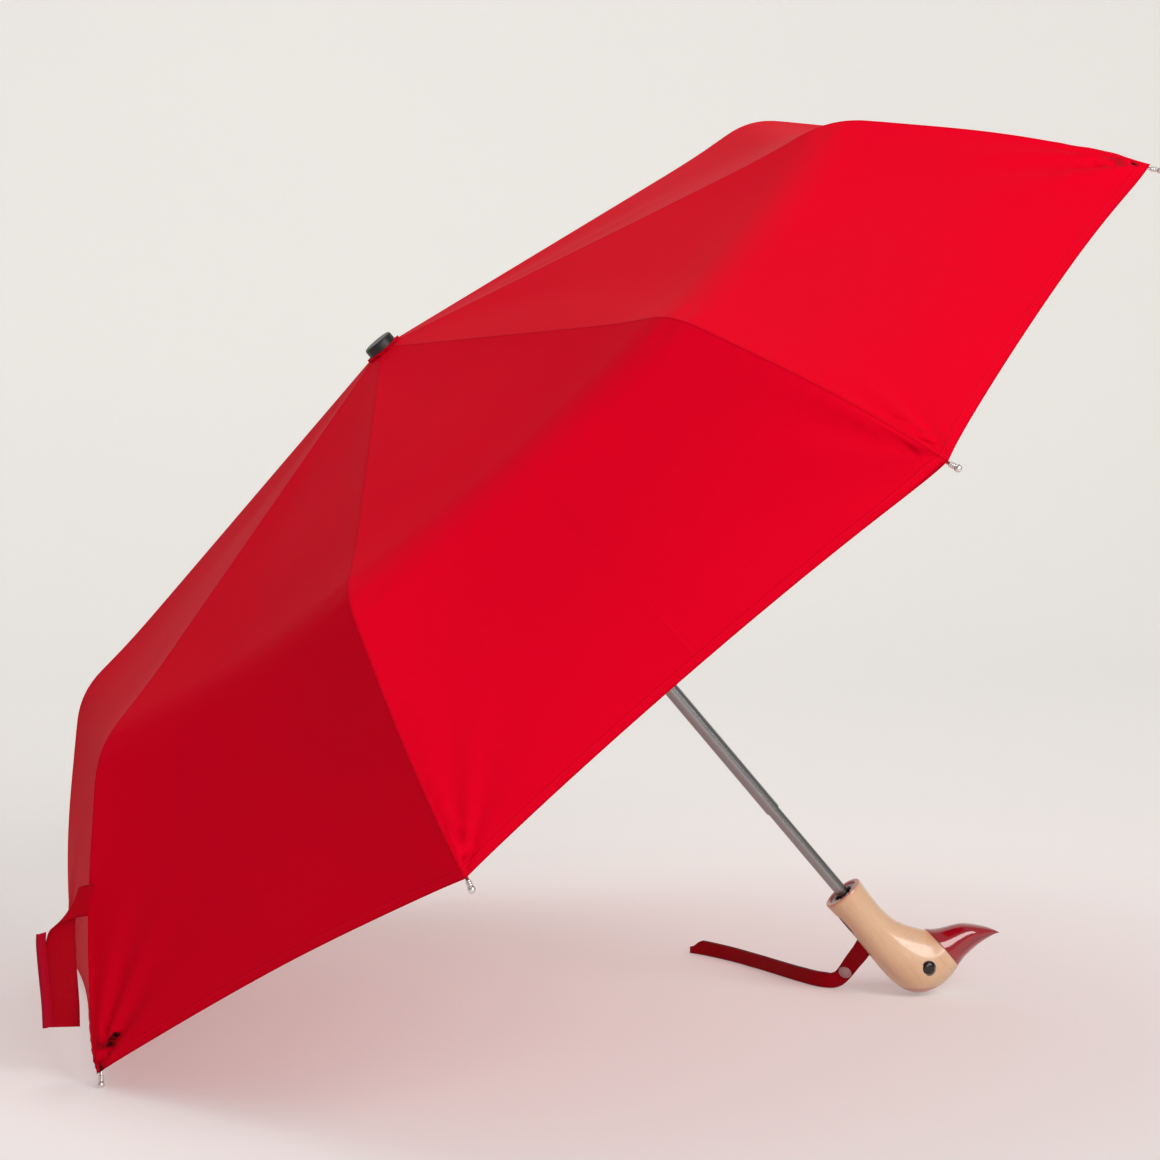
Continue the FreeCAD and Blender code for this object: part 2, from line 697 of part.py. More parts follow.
def build():
    os.makedirs("parts", exist_ok=True)
    head = head_body()
    save_leaned("handle_body", handle_body(head))
    save_leaned("beak", crosswise_loft(beak_sections))
    save_leaned("eyes", *eyes(head))
    save_leaned("socket_insert", socket_insert())
    save_leaned("socket_ring", socket_ring())
    save_leaned("push_button", button_block(button_length, button_width, button_back, button_face))
    save_leaned("button_spring", button_spring())
    strap, snap = wrist_strap()
    save("wrist_strap", strap)
    save("strap_snap", snap)
    handle_end = rim_depth + socket_length
    save_leaned("lower_tube", tube(lower_tube_radius, middle_tube_end - tube_overlap, handle_end))
    save_leaned("middle_tube", tube(middle_tube_radius, upper_tube_end - tube_overlap, middle_tube_end))
    save_leaned("upper_tube", tube(upper_tube_radius, -spigot_height, upper_tube_end))
    save_leaned("cap", cap())
    save_leaned("rosette", rosette())
    save_leaned("crown", crown())
    save_leaned("crown_wire", wire_ring(crown_pivot))
    save_leaned("runner", runner())
    save_leaned("runner_wire", wire_ring(runner_pivot))
    save("tie_strap", tie_strap())
    pieces = {
        "top_rib": top_rib(),
        "mid_rib": mid_rib(),
        "end_rib": [end_rib()],
        "stretcher": [stretcher()],
    }
    for index in range(rib_count):
        save_leaned("canopy_panel_%d" % (index + 1), *panel(index))
        for name, shapes in pieces.items():
            save_leaned("%s_%d" % (name, index + 1), *[around(shape, index) for shape in shapes])


build()
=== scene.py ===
"""Compact folding umbrella with a duck-head handle: cloth, wood, lacquer and metal over its frame.

Lengths are in metres. Most shapes are worked out upright, with the shaft as Z, the canopy's peak as the
origin and the duck's beak along +X, and on_floor then puts them where the umbrella lies.
"""

import json

import bmesh
import bpy
import numpy as np
from bpy.props import FloatProperty, FloatVectorProperty, PointerProperty
from bpy.types import Operator, Panel, PropertyGroup
from mathutils import Matrix, Vector


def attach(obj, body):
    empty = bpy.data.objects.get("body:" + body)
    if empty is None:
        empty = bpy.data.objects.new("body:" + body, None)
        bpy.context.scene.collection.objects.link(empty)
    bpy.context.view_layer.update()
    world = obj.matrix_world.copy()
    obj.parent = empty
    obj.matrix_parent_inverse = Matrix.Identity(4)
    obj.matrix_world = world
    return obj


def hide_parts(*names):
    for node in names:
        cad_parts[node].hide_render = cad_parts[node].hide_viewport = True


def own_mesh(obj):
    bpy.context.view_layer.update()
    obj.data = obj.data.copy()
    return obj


bl_info = {
    "name": "Folding umbrella",
    "version": (1, 0, 0),
    "blender": (4, 5, 0),
    "location": "3D view > Sidebar > Umbrella",
    "description": "Builds the cloth, handle, straps and finishes of a compact folding umbrella",
    "category": "Add Mesh",
}

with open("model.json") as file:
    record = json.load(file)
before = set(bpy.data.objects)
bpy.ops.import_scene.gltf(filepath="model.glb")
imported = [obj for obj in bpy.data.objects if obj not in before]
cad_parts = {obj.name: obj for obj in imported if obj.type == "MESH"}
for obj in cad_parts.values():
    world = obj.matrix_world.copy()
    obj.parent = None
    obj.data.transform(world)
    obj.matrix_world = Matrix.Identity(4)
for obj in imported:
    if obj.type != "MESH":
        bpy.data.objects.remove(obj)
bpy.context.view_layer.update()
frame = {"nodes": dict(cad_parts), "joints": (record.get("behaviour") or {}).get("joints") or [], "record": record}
NODES = frame["nodes"]
JOINTS = {joint["name"]: joint for joint in frame["joints"]}
MOUNTS = {mount["name"]: mount for mount in frame["record"]["mounts"]}
MM = 0.001

# The upright umbrella's own axes, as they lie in the row frame, and its peak.
DOWN = np.array(JOINTS["runner_slide"]["axis"], float)
BEAKWARD = np.array(JOINTS["button_press"]["axis"], float)
AXES = np.array([BEAKWARD, np.cross(-DOWN, BEAKWARD), -DOWN])
CAP_HEIGHT = 5.2 * MM
PEAK = np.array(MOUNTS["cap_face"]["pos_m"], float) + CAP_HEIGHT * DOWN
RIBS = 8
STEP = 2 * np.pi / RIBS

# Straight length of an outer rib's wire, and depths below the handle's rim.
WIRE_LENGTH = 0.20073932926396208
BUTTON_DEPTH = 0.019
STRAP_DEPTH = 0.038
EYE_DEPTH = 0.0775


def on_floor(points):
    """Upright points, moved to where the umbrella lies: the peak plus each number times its axis."""
    return PEAK + np.asarray(points, float) @ AXES


def ease(share):
    """Eases from 0 to 1 with no slope at either end: t squared times (3 - 2t), t held between 0 and 1."""
    share = np.clip(share, 0.0, 1.0)
    return share * share * (3 - 2 * share)


def smooth_rows(rows, count):
    """Rows of numbers, joined by a curve: each span is the cubic through its two rows whose slope at a
    row is half the difference of the rows beside it, read at count places evenly spread over the rows."""
    rows = np.asarray(rows, float)
    padded = np.vstack([2 * rows[0] - rows[1], rows, 2 * rows[-1] - rows[-2]])
    place = np.linspace(0, len(rows) - 1, count)
    span = np.minimum(place.astype(int), len(rows) - 2)
    t = (place - span)[:, None]
    before, start, end, after = (padded[span + i] for i in range(4))
    slope_start, slope_end = (end - before) / 2, (after - start) / 2
    return (
        (2 * t**3 - 3 * t**2 + 1) * start
        + (t**3 - 2 * t**2 + t) * slope_start
        + (3 * t**2 - 2 * t**3) * end
        + (t**3 - t**2) * slope_end
    )


def grid_faces(rows, columns, offset=0, round_columns=False):
    """Quads of a grid of points that is stored row by row; round_columns joins the last column to the
    first."""
    index = offset + np.arange(rows * columns).reshape(rows, columns)
    if round_columns:
        index = np.hstack([index, index[:, :1]])
    quads = [index[:-1, :-1], index[:-1, 1:], index[1:, 1:], index[1:, :-1]]
    return np.stack(quads, -1).reshape(-1, 4)


def put_mesh(name, points, faces, material, uv=None):
    """A smooth-shaded object at the origin from points and faces; uv gives each point's place on the
    cloth."""
    mesh = bpy.data.meshes.new(name)
    mesh.from_pydata(np.asarray(points, float).tolist(), [], np.asarray(faces).tolist())
    mesh.polygons.foreach_set("use_smooth", np.ones(len(mesh.polygons), bool))
    if uv is not None:
        corners = np.zeros(len(mesh.loops), np.int32)
        mesh.loops.foreach_get("vertex_index", corners)
        layer = mesh.uv_layers.new(name="cloth")
        layer.data.foreach_set("uv", np.asarray(uv, np.float32)[corners].ravel())
    mesh.materials.append(material)
    made = bpy.data.objects.new(name, mesh)
    bpy.context.scene.collection.objects.link(made)
    return made


def closed_rings(name, rings, material, uv=None):
    """A closed piece from rings of points, one row each: the first and last rings are single points."""
    rings = np.asarray(rings, float)
    rows, columns, _ = rings.shape
    made = put_mesh(name, rings.reshape(-1, 3), grid_faces(rows, columns, 0, True), material, uv)
    tidy = bmesh.new()
    tidy.from_mesh(made.data)
    bmesh.ops.remove_doubles(tidy, verts=tidy.verts, dist=1e-6)
    bmesh.ops.recalc_face_normals(tidy, faces=tidy.faces)
    tidy.to_mesh(made.data)
    tidy.free()
    return made


def surface_normals(points):
    """Unit normals of a grid of points: the cross product of its central differences along both ways."""
    along_rows = np.gradient(points, axis=0)
    along_columns = np.gradient(points, axis=1)
    normals = np.cross(along_columns, along_rows)
    return normals / np.maximum(np.linalg.norm(normals, axis=-1, keepdims=True), 1e-12)


def closed_sheet(name, points, normals, thickness, material, uv):
    """A sheet of cloth as a closed shell: a grid of points, the same grid moved back along its normals by
    the thickness, and a rim. The shell keeps the given normals, so neighbouring sheets shade as one."""
    rows, columns, _ = points.shape
    count = rows * columns
    both = np.concatenate([points.reshape(-1, 3), (points - thickness * normals).reshape(-1, 3)])
    front = grid_faces(rows, columns)
    index = np.arange(count).reshape(rows, columns)
    loop = np.concatenate([index[0, :-1], index[:-1, -1], index[-1, :0:-1], index[:0:-1, 0]])
    following = np.roll(loop, -1)
    rim = np.stack([loop, loop + count, following + count, following], -1)
    a, b, c, _ = (points.reshape(-1, 3)[front[:, i]] for i in range(4))
    faced = np.sum(np.cross(b - a, c - a) * normals.reshape(-1, 3)[front[:, 0]]) > 0
    faces = np.concatenate([front, front[:, ::-1] + count, rim])
    faces = faces if faced else faces[:, ::-1]
    made = put_mesh(name, both, faces, material, np.tile(np.asarray(uv).reshape(-1, 2), (2, 1)))
    corner_normals = np.concatenate([normals.reshape(-1, 3), -normals.reshape(-1, 3)])[faces]
    rim_points = both[faces[-len(rim):]]
    across = np.cross(rim_points[:, 1] - rim_points[:, 0], rim_points[:, 2] - rim_points[:, 0])
    across /= np.maximum(np.linalg.norm(across, axis=-1, keepdims=True), 1e-12)
    corner_normals[-len(rim):] = across[:, None, :]
    made.data.normals_split_custom_set(corner_normals.reshape(-1, 3).tolist())
    return made


def sheet_area(points):
    """Area of a grid of points: half the length of the cross product of each cell's diagonals, summed."""
    diagonal = points[1:, 1:] - points[:-1, :-1]
    other = points[1:, :-1] - points[:-1, 1:]
    return float(np.linalg.norm(np.cross(diagonal, other), axis=-1).sum() / 2)


class Signal:
    """A shader socket that takes part in Python expressions; each operation adds one Math node."""

    def __init__(self, finish, socket):
        self.finish = finish
        self.socket = socket

    def math(self, operation, *others):
        inputs = {i: value for i, value in enumerate((self, *others))}
        return self.finish.node("ShaderNodeMath", inputs, operation=operation)

    def flipped(self, operation, other):
        return self.finish.node("ShaderNodeMath", {0: other, 1: self}, operation=operation)

    def __add__(self, other):
        return self.math("ADD", other)

    def __radd__(self, other):
        return self.flipped("ADD", other)

    def __sub__(self, other):
        return self.math("SUBTRACT", other)

    def __rsub__(self, other):
        return self.flipped("SUBTRACT", other)

    def __mul__(self, other):
        return self.math("MULTIPLY", other)

    def __rmul__(self, other):
        return self.flipped("MULTIPLY", other)

    def size(self):
        return self.math("ABSOLUTE")

    def sine(self):
        return self.math("SINE")

    def fraction(self):
        return self.math("FRACT")

    def below(self, limit, softness):
        """1 where the value is under the limit and 0 over it, changing smoothly over the softness."""
        inputs = {"Value": self, "From Min": limit - softness, "From Max": limit + softness}
        inputs |= {"To Min": 1.0, "To Max": 0.0}
        return self.finish.node("ShaderNodeMapRange", inputs, interpolation_type="SMOOTHSTEP")


class Finish:
    """One material, its Principled shader and the nodes that feed it."""

    def __init__(self, name, **settings):
        self.material = bpy.data.materials.new(name)
        self.material.use_nodes = True
        self.tree = self.material.node_tree
        self.tree.nodes.clear()
        self.shader = self.tree.nodes.new("ShaderNodeBsdfPrincipled")
        output = self.tree.nodes.new("ShaderNodeOutputMaterial")
        self.tree.links.new(self.shader.outputs[0], output.inputs[0])
        for socket, value in settings.items():
            self.feed(socket.replace("_", " ").title().replace("Ior", "IOR"), value)

    def plug(self, socket, value):
        if isinstance(value, Signal):
            self.tree.links.new(value.socket, socket)
        elif socket.type == "RGBA" and len(value) == 3:
            socket.default_value = (*value, 1.0)
        else:
            socket.default_value = value

    def feed(self, socket, value):
        self.plug(self.shader.inputs[socket], value)

    def node(self, kind, inputs=None, output=0, **settings):
        """Adds a node: first its settings, then its sockets' values or links."""
        made = self.tree.nodes.new(kind)
        for name, value in settings.items():
            setattr(made, name, value)
        for name, value in (inputs or {}).items():
            self.plug(made.inputs[name], value)
        return Signal(self, made.outputs[output])

    def place(self, source="Object"):
        """The X, Y and Z of the object's own coordinates, or of its cloth's map."""
        if source == "cloth":
            vector = self.node("ShaderNodeUVMap", uv_map="cloth")
        else:
            vector = self.node("ShaderNodeTexCoord", output="Object")
        return [self.node("ShaderNodeSeparateXYZ", {0: vector}, output=axis) for axis in "XYZ"] + [vector]

    def noise(self, vector, scale, detail=3.0, stretch=None):
        if stretch is not None:
            vector = self.node("ShaderNodeMapping", {"Vector": vector, "Scale": stretch})
        inputs = {"Vector": vector, "Scale": scale, "Detail": detail}
        return self.node("ShaderNodeTexNoise", inputs, output="Fac")

    def mix(self, factor, first, second):
        """A colour between two, by the factor."""
        inputs = {0: factor, 6: first, 7: second}
        return self.node("ShaderNodeMix", inputs, output=2, data_type="RGBA")

    def bump(self, height, distance, strength=1.0):
        inputs = {"Height": height, "Distance": distance, "Strength": strength}
        self.feed("Normal", self.node("ShaderNodeBump", inputs))


# Sizes and colours


def length(name, text, value, low=0.0):
    return FloatProperty(name=name, description=text, default=value, min=low, precision=4, unit="LENGTH")


def colour(name, text, value):
    return FloatVectorProperty(
        name=name, description=text, default=value, size=3, min=0, max=1, subtype="COLOR"
    )


class CanopySizes(PropertyGroup):
    """The canopy's cloth, over ribs that bend once between the peak and the corner."""

    bend_radius: length("Bend radius", "From the shaft to where a rib bends", 0.3344)
    bend_depth: length("Bend depth", "From the peak down to where a rib bends", 0.0648)
    corner_radius: length("Corner radius", "From the shaft to the cloth's corner", 0.480)
    corner_depth: length("Corner depth", "From the peak down to the cloth's corner", 0.211)
    bow: length("Rib bow", "How far the outer rib bows out between bend and corner", 0.008)
    round_off: length("Rounding", "Run over which the bend is rounded", 0.020)
    sag: length("Sag", "How far the cloth draws in between two ribs near the bend", 0.0075)
    hem_dip: length("Hem dip", "How far the hem curves in between two corners", 0.0070)
    thickness: length("Cloth thickness", "Thickness of the cloth", 0.00035)
    seam_width: length("Seam width", "Width of the sewn band over each rib", 0.0016)
    folded_share: FloatProperty(
        name="Folded share",
        description="Width of the cloth over a rib when folded, as a share",
        default=0.055,
    )


class HandleSizes(PropertyGroup):
    """The wooden neck and duck's head."""

    rim_depth: length("Rim depth", "From the canopy's peak down to the handle's rim", 0.497)
    socket_radius: length("Socket radius", "Radius of the hole in the handle's rim", 0.01085)
    socket_length: length("Socket length", "Depth of the hole in the handle", 0.045)
    eye_radius: length("Eye radius", "Radius of the duck's eye", 0.005)


class StrapSizes(PropertyGroup):
    """The wrist strap and the tie strap."""

    ribbon_thickness: length("Ribbon thickness", "Thickness of each ribbon", 0.0009)
    tie_width: length("Tie strap width", "Width of the tie strap", 0.020)
    wrist_width: length("Wrist strap width", "Width of the wrist strap", 0.0105)


class Colours(PropertyGroup):
    """Colours of the cloth, wood, lacquer and ribbons."""

    cloth: colour("Cloth", "Colour of the canopy", (0.84, 0.0004, 0.018))
    ribbon: colour("Ribbon", "Colour of the wrist strap", (0.36, 0.001, 0.008))
    wood: colour("Wood", "Colour of the handle", (0.86, 0.60, 0.38))
    beak: colour("Beak", "Colour of the beak's lacquer", (0.36, 0.003, 0.014))
    floor: colour("Floor", "Colour of the floor", (0.72, 0.69, 0.68))
    backdrop: colour("Backdrop", "Colour of the backdrop", (0.87, 0.85, 0.81))


class StageSizes(PropertyGroup):
    """Where the camera stands and looks, and how strong the lamps and the fill are."""

    camera_place: FloatVectorProperty(
        name="Camera",
        description="Where the camera stands",
        default=(-0.4407, -2.6961, 0.6025),
        subtype="TRANSLATION",
    )
    camera_look: FloatVectorProperty(
        name="Look",
        description="Where the camera looks",
        default=(0.1623, 0.9805, -0.1115),
        subtype="DIRECTION",
    )
    camera_up: FloatVectorProperty(
        name="Up",
        description="Which way is up for the camera",
        default=(0.0182, 0.1100, 0.9938),
        subtype="DIRECTION",
    )
    lens: FloatProperty(
        name="Lens", description="Focal length in millimetres on a 36 mm sensor", default=125.4
    )
    key_power: FloatProperty(
        name="Key lamp", description="Power of the large lamp", default=46.0, unit="POWER"
    )
    fill: FloatProperty(name="Fill", description="Strength of the light from all round", default=0.30)


SIZE_GROUPS = {
    "umbrella_canopy": CanopySizes,
    "umbrella_handle": HandleSizes,
    "umbrella_straps": StrapSizes,
    "umbrella_colours": Colours,
    "umbrella_stage": StageSizes,
}


# Finishes


def woven(finish, pitch, relief, base, shade_share=0.10):
    """Plain weave: two sets of threads, each a sine across the cloth's map, that pass over each other."""
    x, y, _, vector = finish.place("cloth")
    across = (x * (2 * np.pi / pitch)).sine()
    down = (y * (2 * np.pi / pitch)).sine()
    height = across * down
    slow = finish.noise(vector, 9.0, 2.0)
    streaks = finish.noise(vector, 260.0, 2.0, stretch=(0.25, 3.0, 1.0))
    tone = slow * 0.5 + streaks * 0.3 + height * 0.03 + 0.1
    dark = tuple(c * (1 - shade_share) for c in base)
    light = tuple(min(1.0, c * (1 + shade_share)) for c in base)
    return x, y, height * relief, finish.mix(tone, dark, light)


def canopy_cloth(colours, sizes):
    """Satin woven cloth, with a sewn band over each rib, its two rows of stitches, and a stitched hem, with
    painted shade along the band's edges, at the hem's edge and where the turned hem ends.
    The map's X is the distance from the rib plus a half, Y the run from the peak; hem holds the distance
    to the hem."""
    finish = Finish("canopy_cloth", roughness=0.6, sheen_weight=0.045, sheen_roughness=0.22)
    finish.feed("Sheen Tint", (1.0, 0.30, 0.36, 1.0))
    finish.feed("Specular IOR Level", 0.015)
    x, y, relief, base = woven(finish, 0.0009, 0.25, tuple(colours.cloth), 0.07)
    beside = (x - 0.5).size()
    hem = finish.node("ShaderNodeAttribute", output="Fac", attribute_name="hem")
    half = sizes.seam_width / 2
    band = beside.below(half, 0.00018)
    # Masks for painted shade: along both edges of the sewn band, where the turned hem ends and at the hem's outer
    # edge.
    edge = (beside - half).size().below(0.00045, 0.0003)
    hem_line_shade = (hem - 0.0065).size().below(0.0004, 0.0003)
    hem_edge_shade = hem.below(0.0012, 0.0005)
    stitch = (y * (1 / 0.0026)).fraction().below(0.62, 0.06)
    hem_stitch = (x * (1 / 0.0026)).fraction().below(0.62, 0.06)
    sewn = (beside - half * 0.62).size().below(0.00022, 0.00012) * stitch
    hem_sewn = (hem - 0.0056).size().below(0.00022, 0.00012) * hem_stitch
    # Painted shade: the cloth is darkened in thin lines at the band's edges and along the hem, where their steps
    # would be shaded.
    dark = tuple(c * 0.42 for c in colours.cloth)
    painted_crease_shade = edge * 0.28 + hem_line_shade * 0.10 + hem_edge_shade * 0.35
    tone = finish.mix(painted_crease_shade, base, dark)
    thread = tuple(min(1, c * 1.2 + 0.01) for c in colours.cloth)
    finish.feed("Base Color", finish.mix(sewn * 0.35 + hem_sewn * 0.35, tone, thread))
    finish.feed("Roughness", 0.58 + relief * 0.2 + painted_crease_shade * 0.2)
    turned = hem.below(0.0065, 0.0003)
    height = relief * 0.12 + band + sewn * 0.5 + turned * 0.8 + hem_sewn * 0.5
    finish.bump(height, 0.0004, 0.55)
    return finish.material


def ribbon_cloth(name, tint):
    """Ribbed ribbon: the cross threads show as fine ridges, with a denser selvage along both edges."""
    finish = Finish(name, roughness=0.6, sheen_weight=0.03, sheen_roughness=0.3)
    finish.feed("Sheen Tint", (1.0, 0.4, 0.45, 1.0))
    finish.feed("Specular IOR Level", 0.06)
    x, y, relief, base = woven(finish, 0.0011, 0.3, tint, 0.12)
    ridges = (y * (2 * np.pi / 0.0009)).sine()
    edge = (x - 0.5).size()
    selvage = 1 - edge.below(0.43, 0.02)
    finish.feed("Base Color", finish.mix(selvage * 0.35, base, tuple(c * 0.5 for c in tint)))
    finish.feed("Roughness", 0.5 + relief * 0.1)
    finish.bump(ridges * 0.4 + relief + selvage * 0.6, 0.0003, 0.5)
    return finish.material


def lacquered_wood(tint):
    """Pale wood under clear lacquer: grain stretched along the neck, pores as short dark ticks, and a
    stained ring where the rim's end grain shows."""
    finish = Finish("lacquered_wood", roughness=0.30, coat_weight=0.75, coat_roughness=0.10)
    _, _, _, vector = finish.place()
    turn = {"Vector": vector, "Rotation": (0.0, -np.arctan2(DOWN[0], DOWN[2]), 0.0)}
    upright = finish.node("ShaderNodeMapping", turn)
    grain = finish.noise(upright, 95.0, 5.0, stretch=(1.0, 1.0, 0.07))
    pores = finish.noise(upright, 900.0, 2.0, stretch=(1.0, 1.0, 0.04))
    cloud = finish.noise(vector, 28.0, 2.0)
    darker = tuple(c * s for c, s in zip(tint, (0.84, 0.70, 0.56)))
    paler = tuple(min(1, c * s) for c, s in zip(tint, (1.06, 1.10, 1.16)))
    body = finish.mix(grain * 0.75 + cloud * 0.35 - 0.05, darker, paler)
    pore = 1 - pores.below(0.66, 0.05)
    body = finish.mix(pore * 0.35, body, tuple(c * 0.5 for c in tint))
    stain = finish.node("ShaderNodeAttribute", output="Fac", attribute_name="rim")
    finish.feed("Base Color", finish.mix(stain, body, (0.62, 0.22, 0.17)))
    finish.feed("Roughness", 0.26 + grain * 0.10 + pore * 0.1)
    finish.bump(grain * 0.25 - pore * 0.35, 0.00012, 0.35)
    return finish.material


def beak_lacquer(tint):
    """Deep red lacquer, darker at the tip, with painted shade along the mouth's groove on both sides."""
    finish = Finish("beak_lacquer", roughness=0.12, coat_weight=1.0, coat_roughness=0.03)
    _, _, _, vector = finish.place()
    cloud = finish.noise(vector, 60.0, 3.0)
    mouth = finish.node("ShaderNodeAttribute", output="Fac", attribute_name="mouth")
    tip = finish.node("ShaderNodeAttribute", output="Fac", attribute_name="tip")
    body = finish.mix(cloud, tuple(c * 0.82 for c in tint), tuple(min(1, c * 1.12) for c in tint))
    # Painted shade: the lacquer is darkened along the mouth's groove.
    body = finish.mix(mouth * 0.75, body, (0.05, 0.002, 0.004))
    finish.feed("Base Color", finish.mix(tip * 0.8, body, (0.045, 0.012, 0.012)))
    finish.feed("Roughness", 0.10 + cloud * 0.08)
    finish.bump(finish.noise(vector, 240.0, 2.0) * 0.2, 0.0001, 0.2)
    return finish.material


def drawn_steel(name, tint, rough, along=None):
    """Plated metal with fine drawing lines along it and faint clouding."""
    finish = Finish(name, roughness=rough, metallic=1.0)
    _, _, _, vector = finish.place()
    lines = vector
    if along is not None:
        lines = finish.node("ShaderNodeMapping", {"Vector": vector, "Rotation": (0.0, along, 0.0)})
    drawn = finish.noise(lines, 1400.0, 2.0, stretch=(1.0, 1.0, 0.02))
    cloud = finish.noise(vector, 45.0, 3.0)
    darker = tuple(c * 0.86 for c in tint)
    finish.feed("Base Color", finish.mix(cloud * 0.6 + drawn * 0.4, darker, tint))
    finish.feed("Roughness", rough + drawn * 0.10 + cloud * 0.06 - 0.06)
    finish.bump(drawn, 0.00004, 0.35)
    return finish.material


def moulded(name, tint, rough, coat=0.0, grain=0.35):
    """Moulded plastic: a fine pebble in the gloss and a slight mottle in the colour."""
    finish = Finish(name, roughness=rough, coat_weight=coat, coat_roughness=0.05)
    _, _, _, vector = finish.place()
    pebble = finish.noise(vector, 900.0, 2.0)
    mottle = finish.noise(vector, 70.0, 2.0)
    darker = tuple(c * 0.8 for c in tint)
    paler = tuple(min(1, c * 1.2) for c in tint)
    finish.feed("Base Color", finish.mix(mottle, darker, paler))
    finish.feed("Roughness", rough + pebble * 0.12 - 0.05)
    finish.bump(pebble * grain, 0.00008, 0.5)
    return finish.material


def paint(node, material):
    """Gives one of the frame's nodes a finish."""
    mesh = NODES[node].data
    mesh.materials.clear()
    mesh.materials.append(material)


# Canopy


def rib_line(run, sizes):
    """Radius and depth of the cloth over a rib at a run from the peak: two straight lines that meet at the
    bend, the outer one bowed out as a parabola, averaged over a short run so that the bend is round, and
    lifted near the bend by a bell curve so that it stays outside the ribs."""
    inner = np.hypot(sizes.bend_radius, sizes.bend_depth)
    inner_slope = np.arctan2(sizes.bend_depth, sizes.bend_radius)
    drop = sizes.corner_depth - sizes.bend_depth
    outer = np.hypot(sizes.corner_radius - sizes.bend_radius, drop)
    outer_slope = np.arctan2(drop, sizes.corner_radius - sizes.bend_radius)
    samples = np.linspace(-1, 1, 9) * sizes.round_off
    place = run[..., None] + samples
    past = np.maximum(place - inner, 0.0)
    share = past / outer
    bow = np.where(share > 0, 4 * sizes.bow * share * (1 - share), 0.0)
    lift = 0.0030 * np.exp(-(((run - inner) / 0.040) ** 2))
    before = np.minimum(place, inner)
    radius = before * np.cos(inner_slope) + past * np.cos(outer_slope) + bow * np.sin(outer_slope)
    depth = before * np.sin(inner_slope) + past * np.sin(outer_slope) - bow * np.cos(outer_slope)
    middle = (inner_slope + outer_slope) / 2
    return radius.mean(-1) + lift * np.sin(middle), depth.mean(-1) - lift * np.cos(middle)


def rib_length(sizes):
    inner = np.hypot(sizes.bend_radius, sizes.bend_depth)
    return inner + np.hypot(sizes.corner_radius - sizes.bend_radius, sizes.corner_depth - sizes.bend_depth)


def gathers(turn, run, beside, sizes):
    """How far small folds lift the cloth. Rays spread from each corner, growing and then dying out with
    the distance from it; short ripples lie across the outer ribs; and slow waves cross the panels. Each
    rib has its own strength and phase, from sines of its number. Over the rib itself nothing is lifted."""
    rib = np.round(turn)
    strength = 0.75 + 0.45 * np.sin(2.1 * rib + 0.5)
    away = rib_length(sizes) - run
    far = np.hypot(beside, away)
    angle = np.arctan2(beside, away)
    spread = far / 0.026
    rays = np.cos(9.0 * angle + 1.3 * rib + 2.0 * np.sin(3.0 * angle + rib)) * spread * np.exp(1 - spread)
    skirt = ease((run - 0.36) / 0.04) * ease(away / 0.03)
    ripple = np.sin(run * 2 * np.pi / 0.017 + 1.7 * np.sin(run * 41.0 + rib) + 2.0 * rib)
    ripple = ripple * np.exp(-np.abs(beside) / 0.010) * skirt
    bend = np.exp(-(((run - 0.343) / 0.020) ** 2)) * np.exp(-((np.abs(beside) - 0.014) / 0.012) ** 2)
    fold = bend * np.cos(run * 2 * np.pi / 0.020 + rib * 2.3)
    slow = np.sin(run * 17.0 + 2.4 * np.sin(turn * 2.0)) * np.sin(turn * 2 * np.pi) * ease(run / 0.2)
    held = np.tanh((beside / 0.004) ** 2)
    return held * (0.00200 * strength * rays + 0.00030 * ripple + 0.00045 * fold + 0.0007 * slow)


def canopy_points(turn, run, sizes):
    """The canopy's outer face. turn counts ribs round the shaft and run is the way out along a rib. A point
    lies on the straight line between the same runs of the two ribs beside it, drawn in by a parabola
    across the panel, which is deepest just past the bend, and lifted by the small folds."""
    share = turn - np.floor(turn)
    start = (np.floor(turn) + 0.5) * STEP
    radius, depth = rib_line(run, sizes)
    x = radius * ((1 - share) * np.cos(start) + share * np.cos(start + STEP))
    y = radius * ((1 - share) * np.sin(start) + share * np.sin(start + STEP))
    slope = 0.19 + 0.62 * ease((run - 0.28) / 0.14)
    middle = start + STEP / 2
    parts = np.broadcast_arrays(np.sin(slope) * np.cos(middle), np.sin(slope) * np.sin(middle), np.cos(slope))
    outward = np.stack(parts, -1)
    drawn = sizes.sag * np.exp(-(((run - 0.385) / 0.105) ** 2)) + 0.0022 * ease(run / 0.15)
    beside = (share - np.round(share)) * radius * 2 * np.tan(STEP / 2)
    lift = gathers(turn, run, beside, sizes) - drawn * 4 * share * (1 - share)
    points = np.stack(np.broadcast_arrays(x, y, -depth), -1) + lift[..., None] * outward
    return points, beside


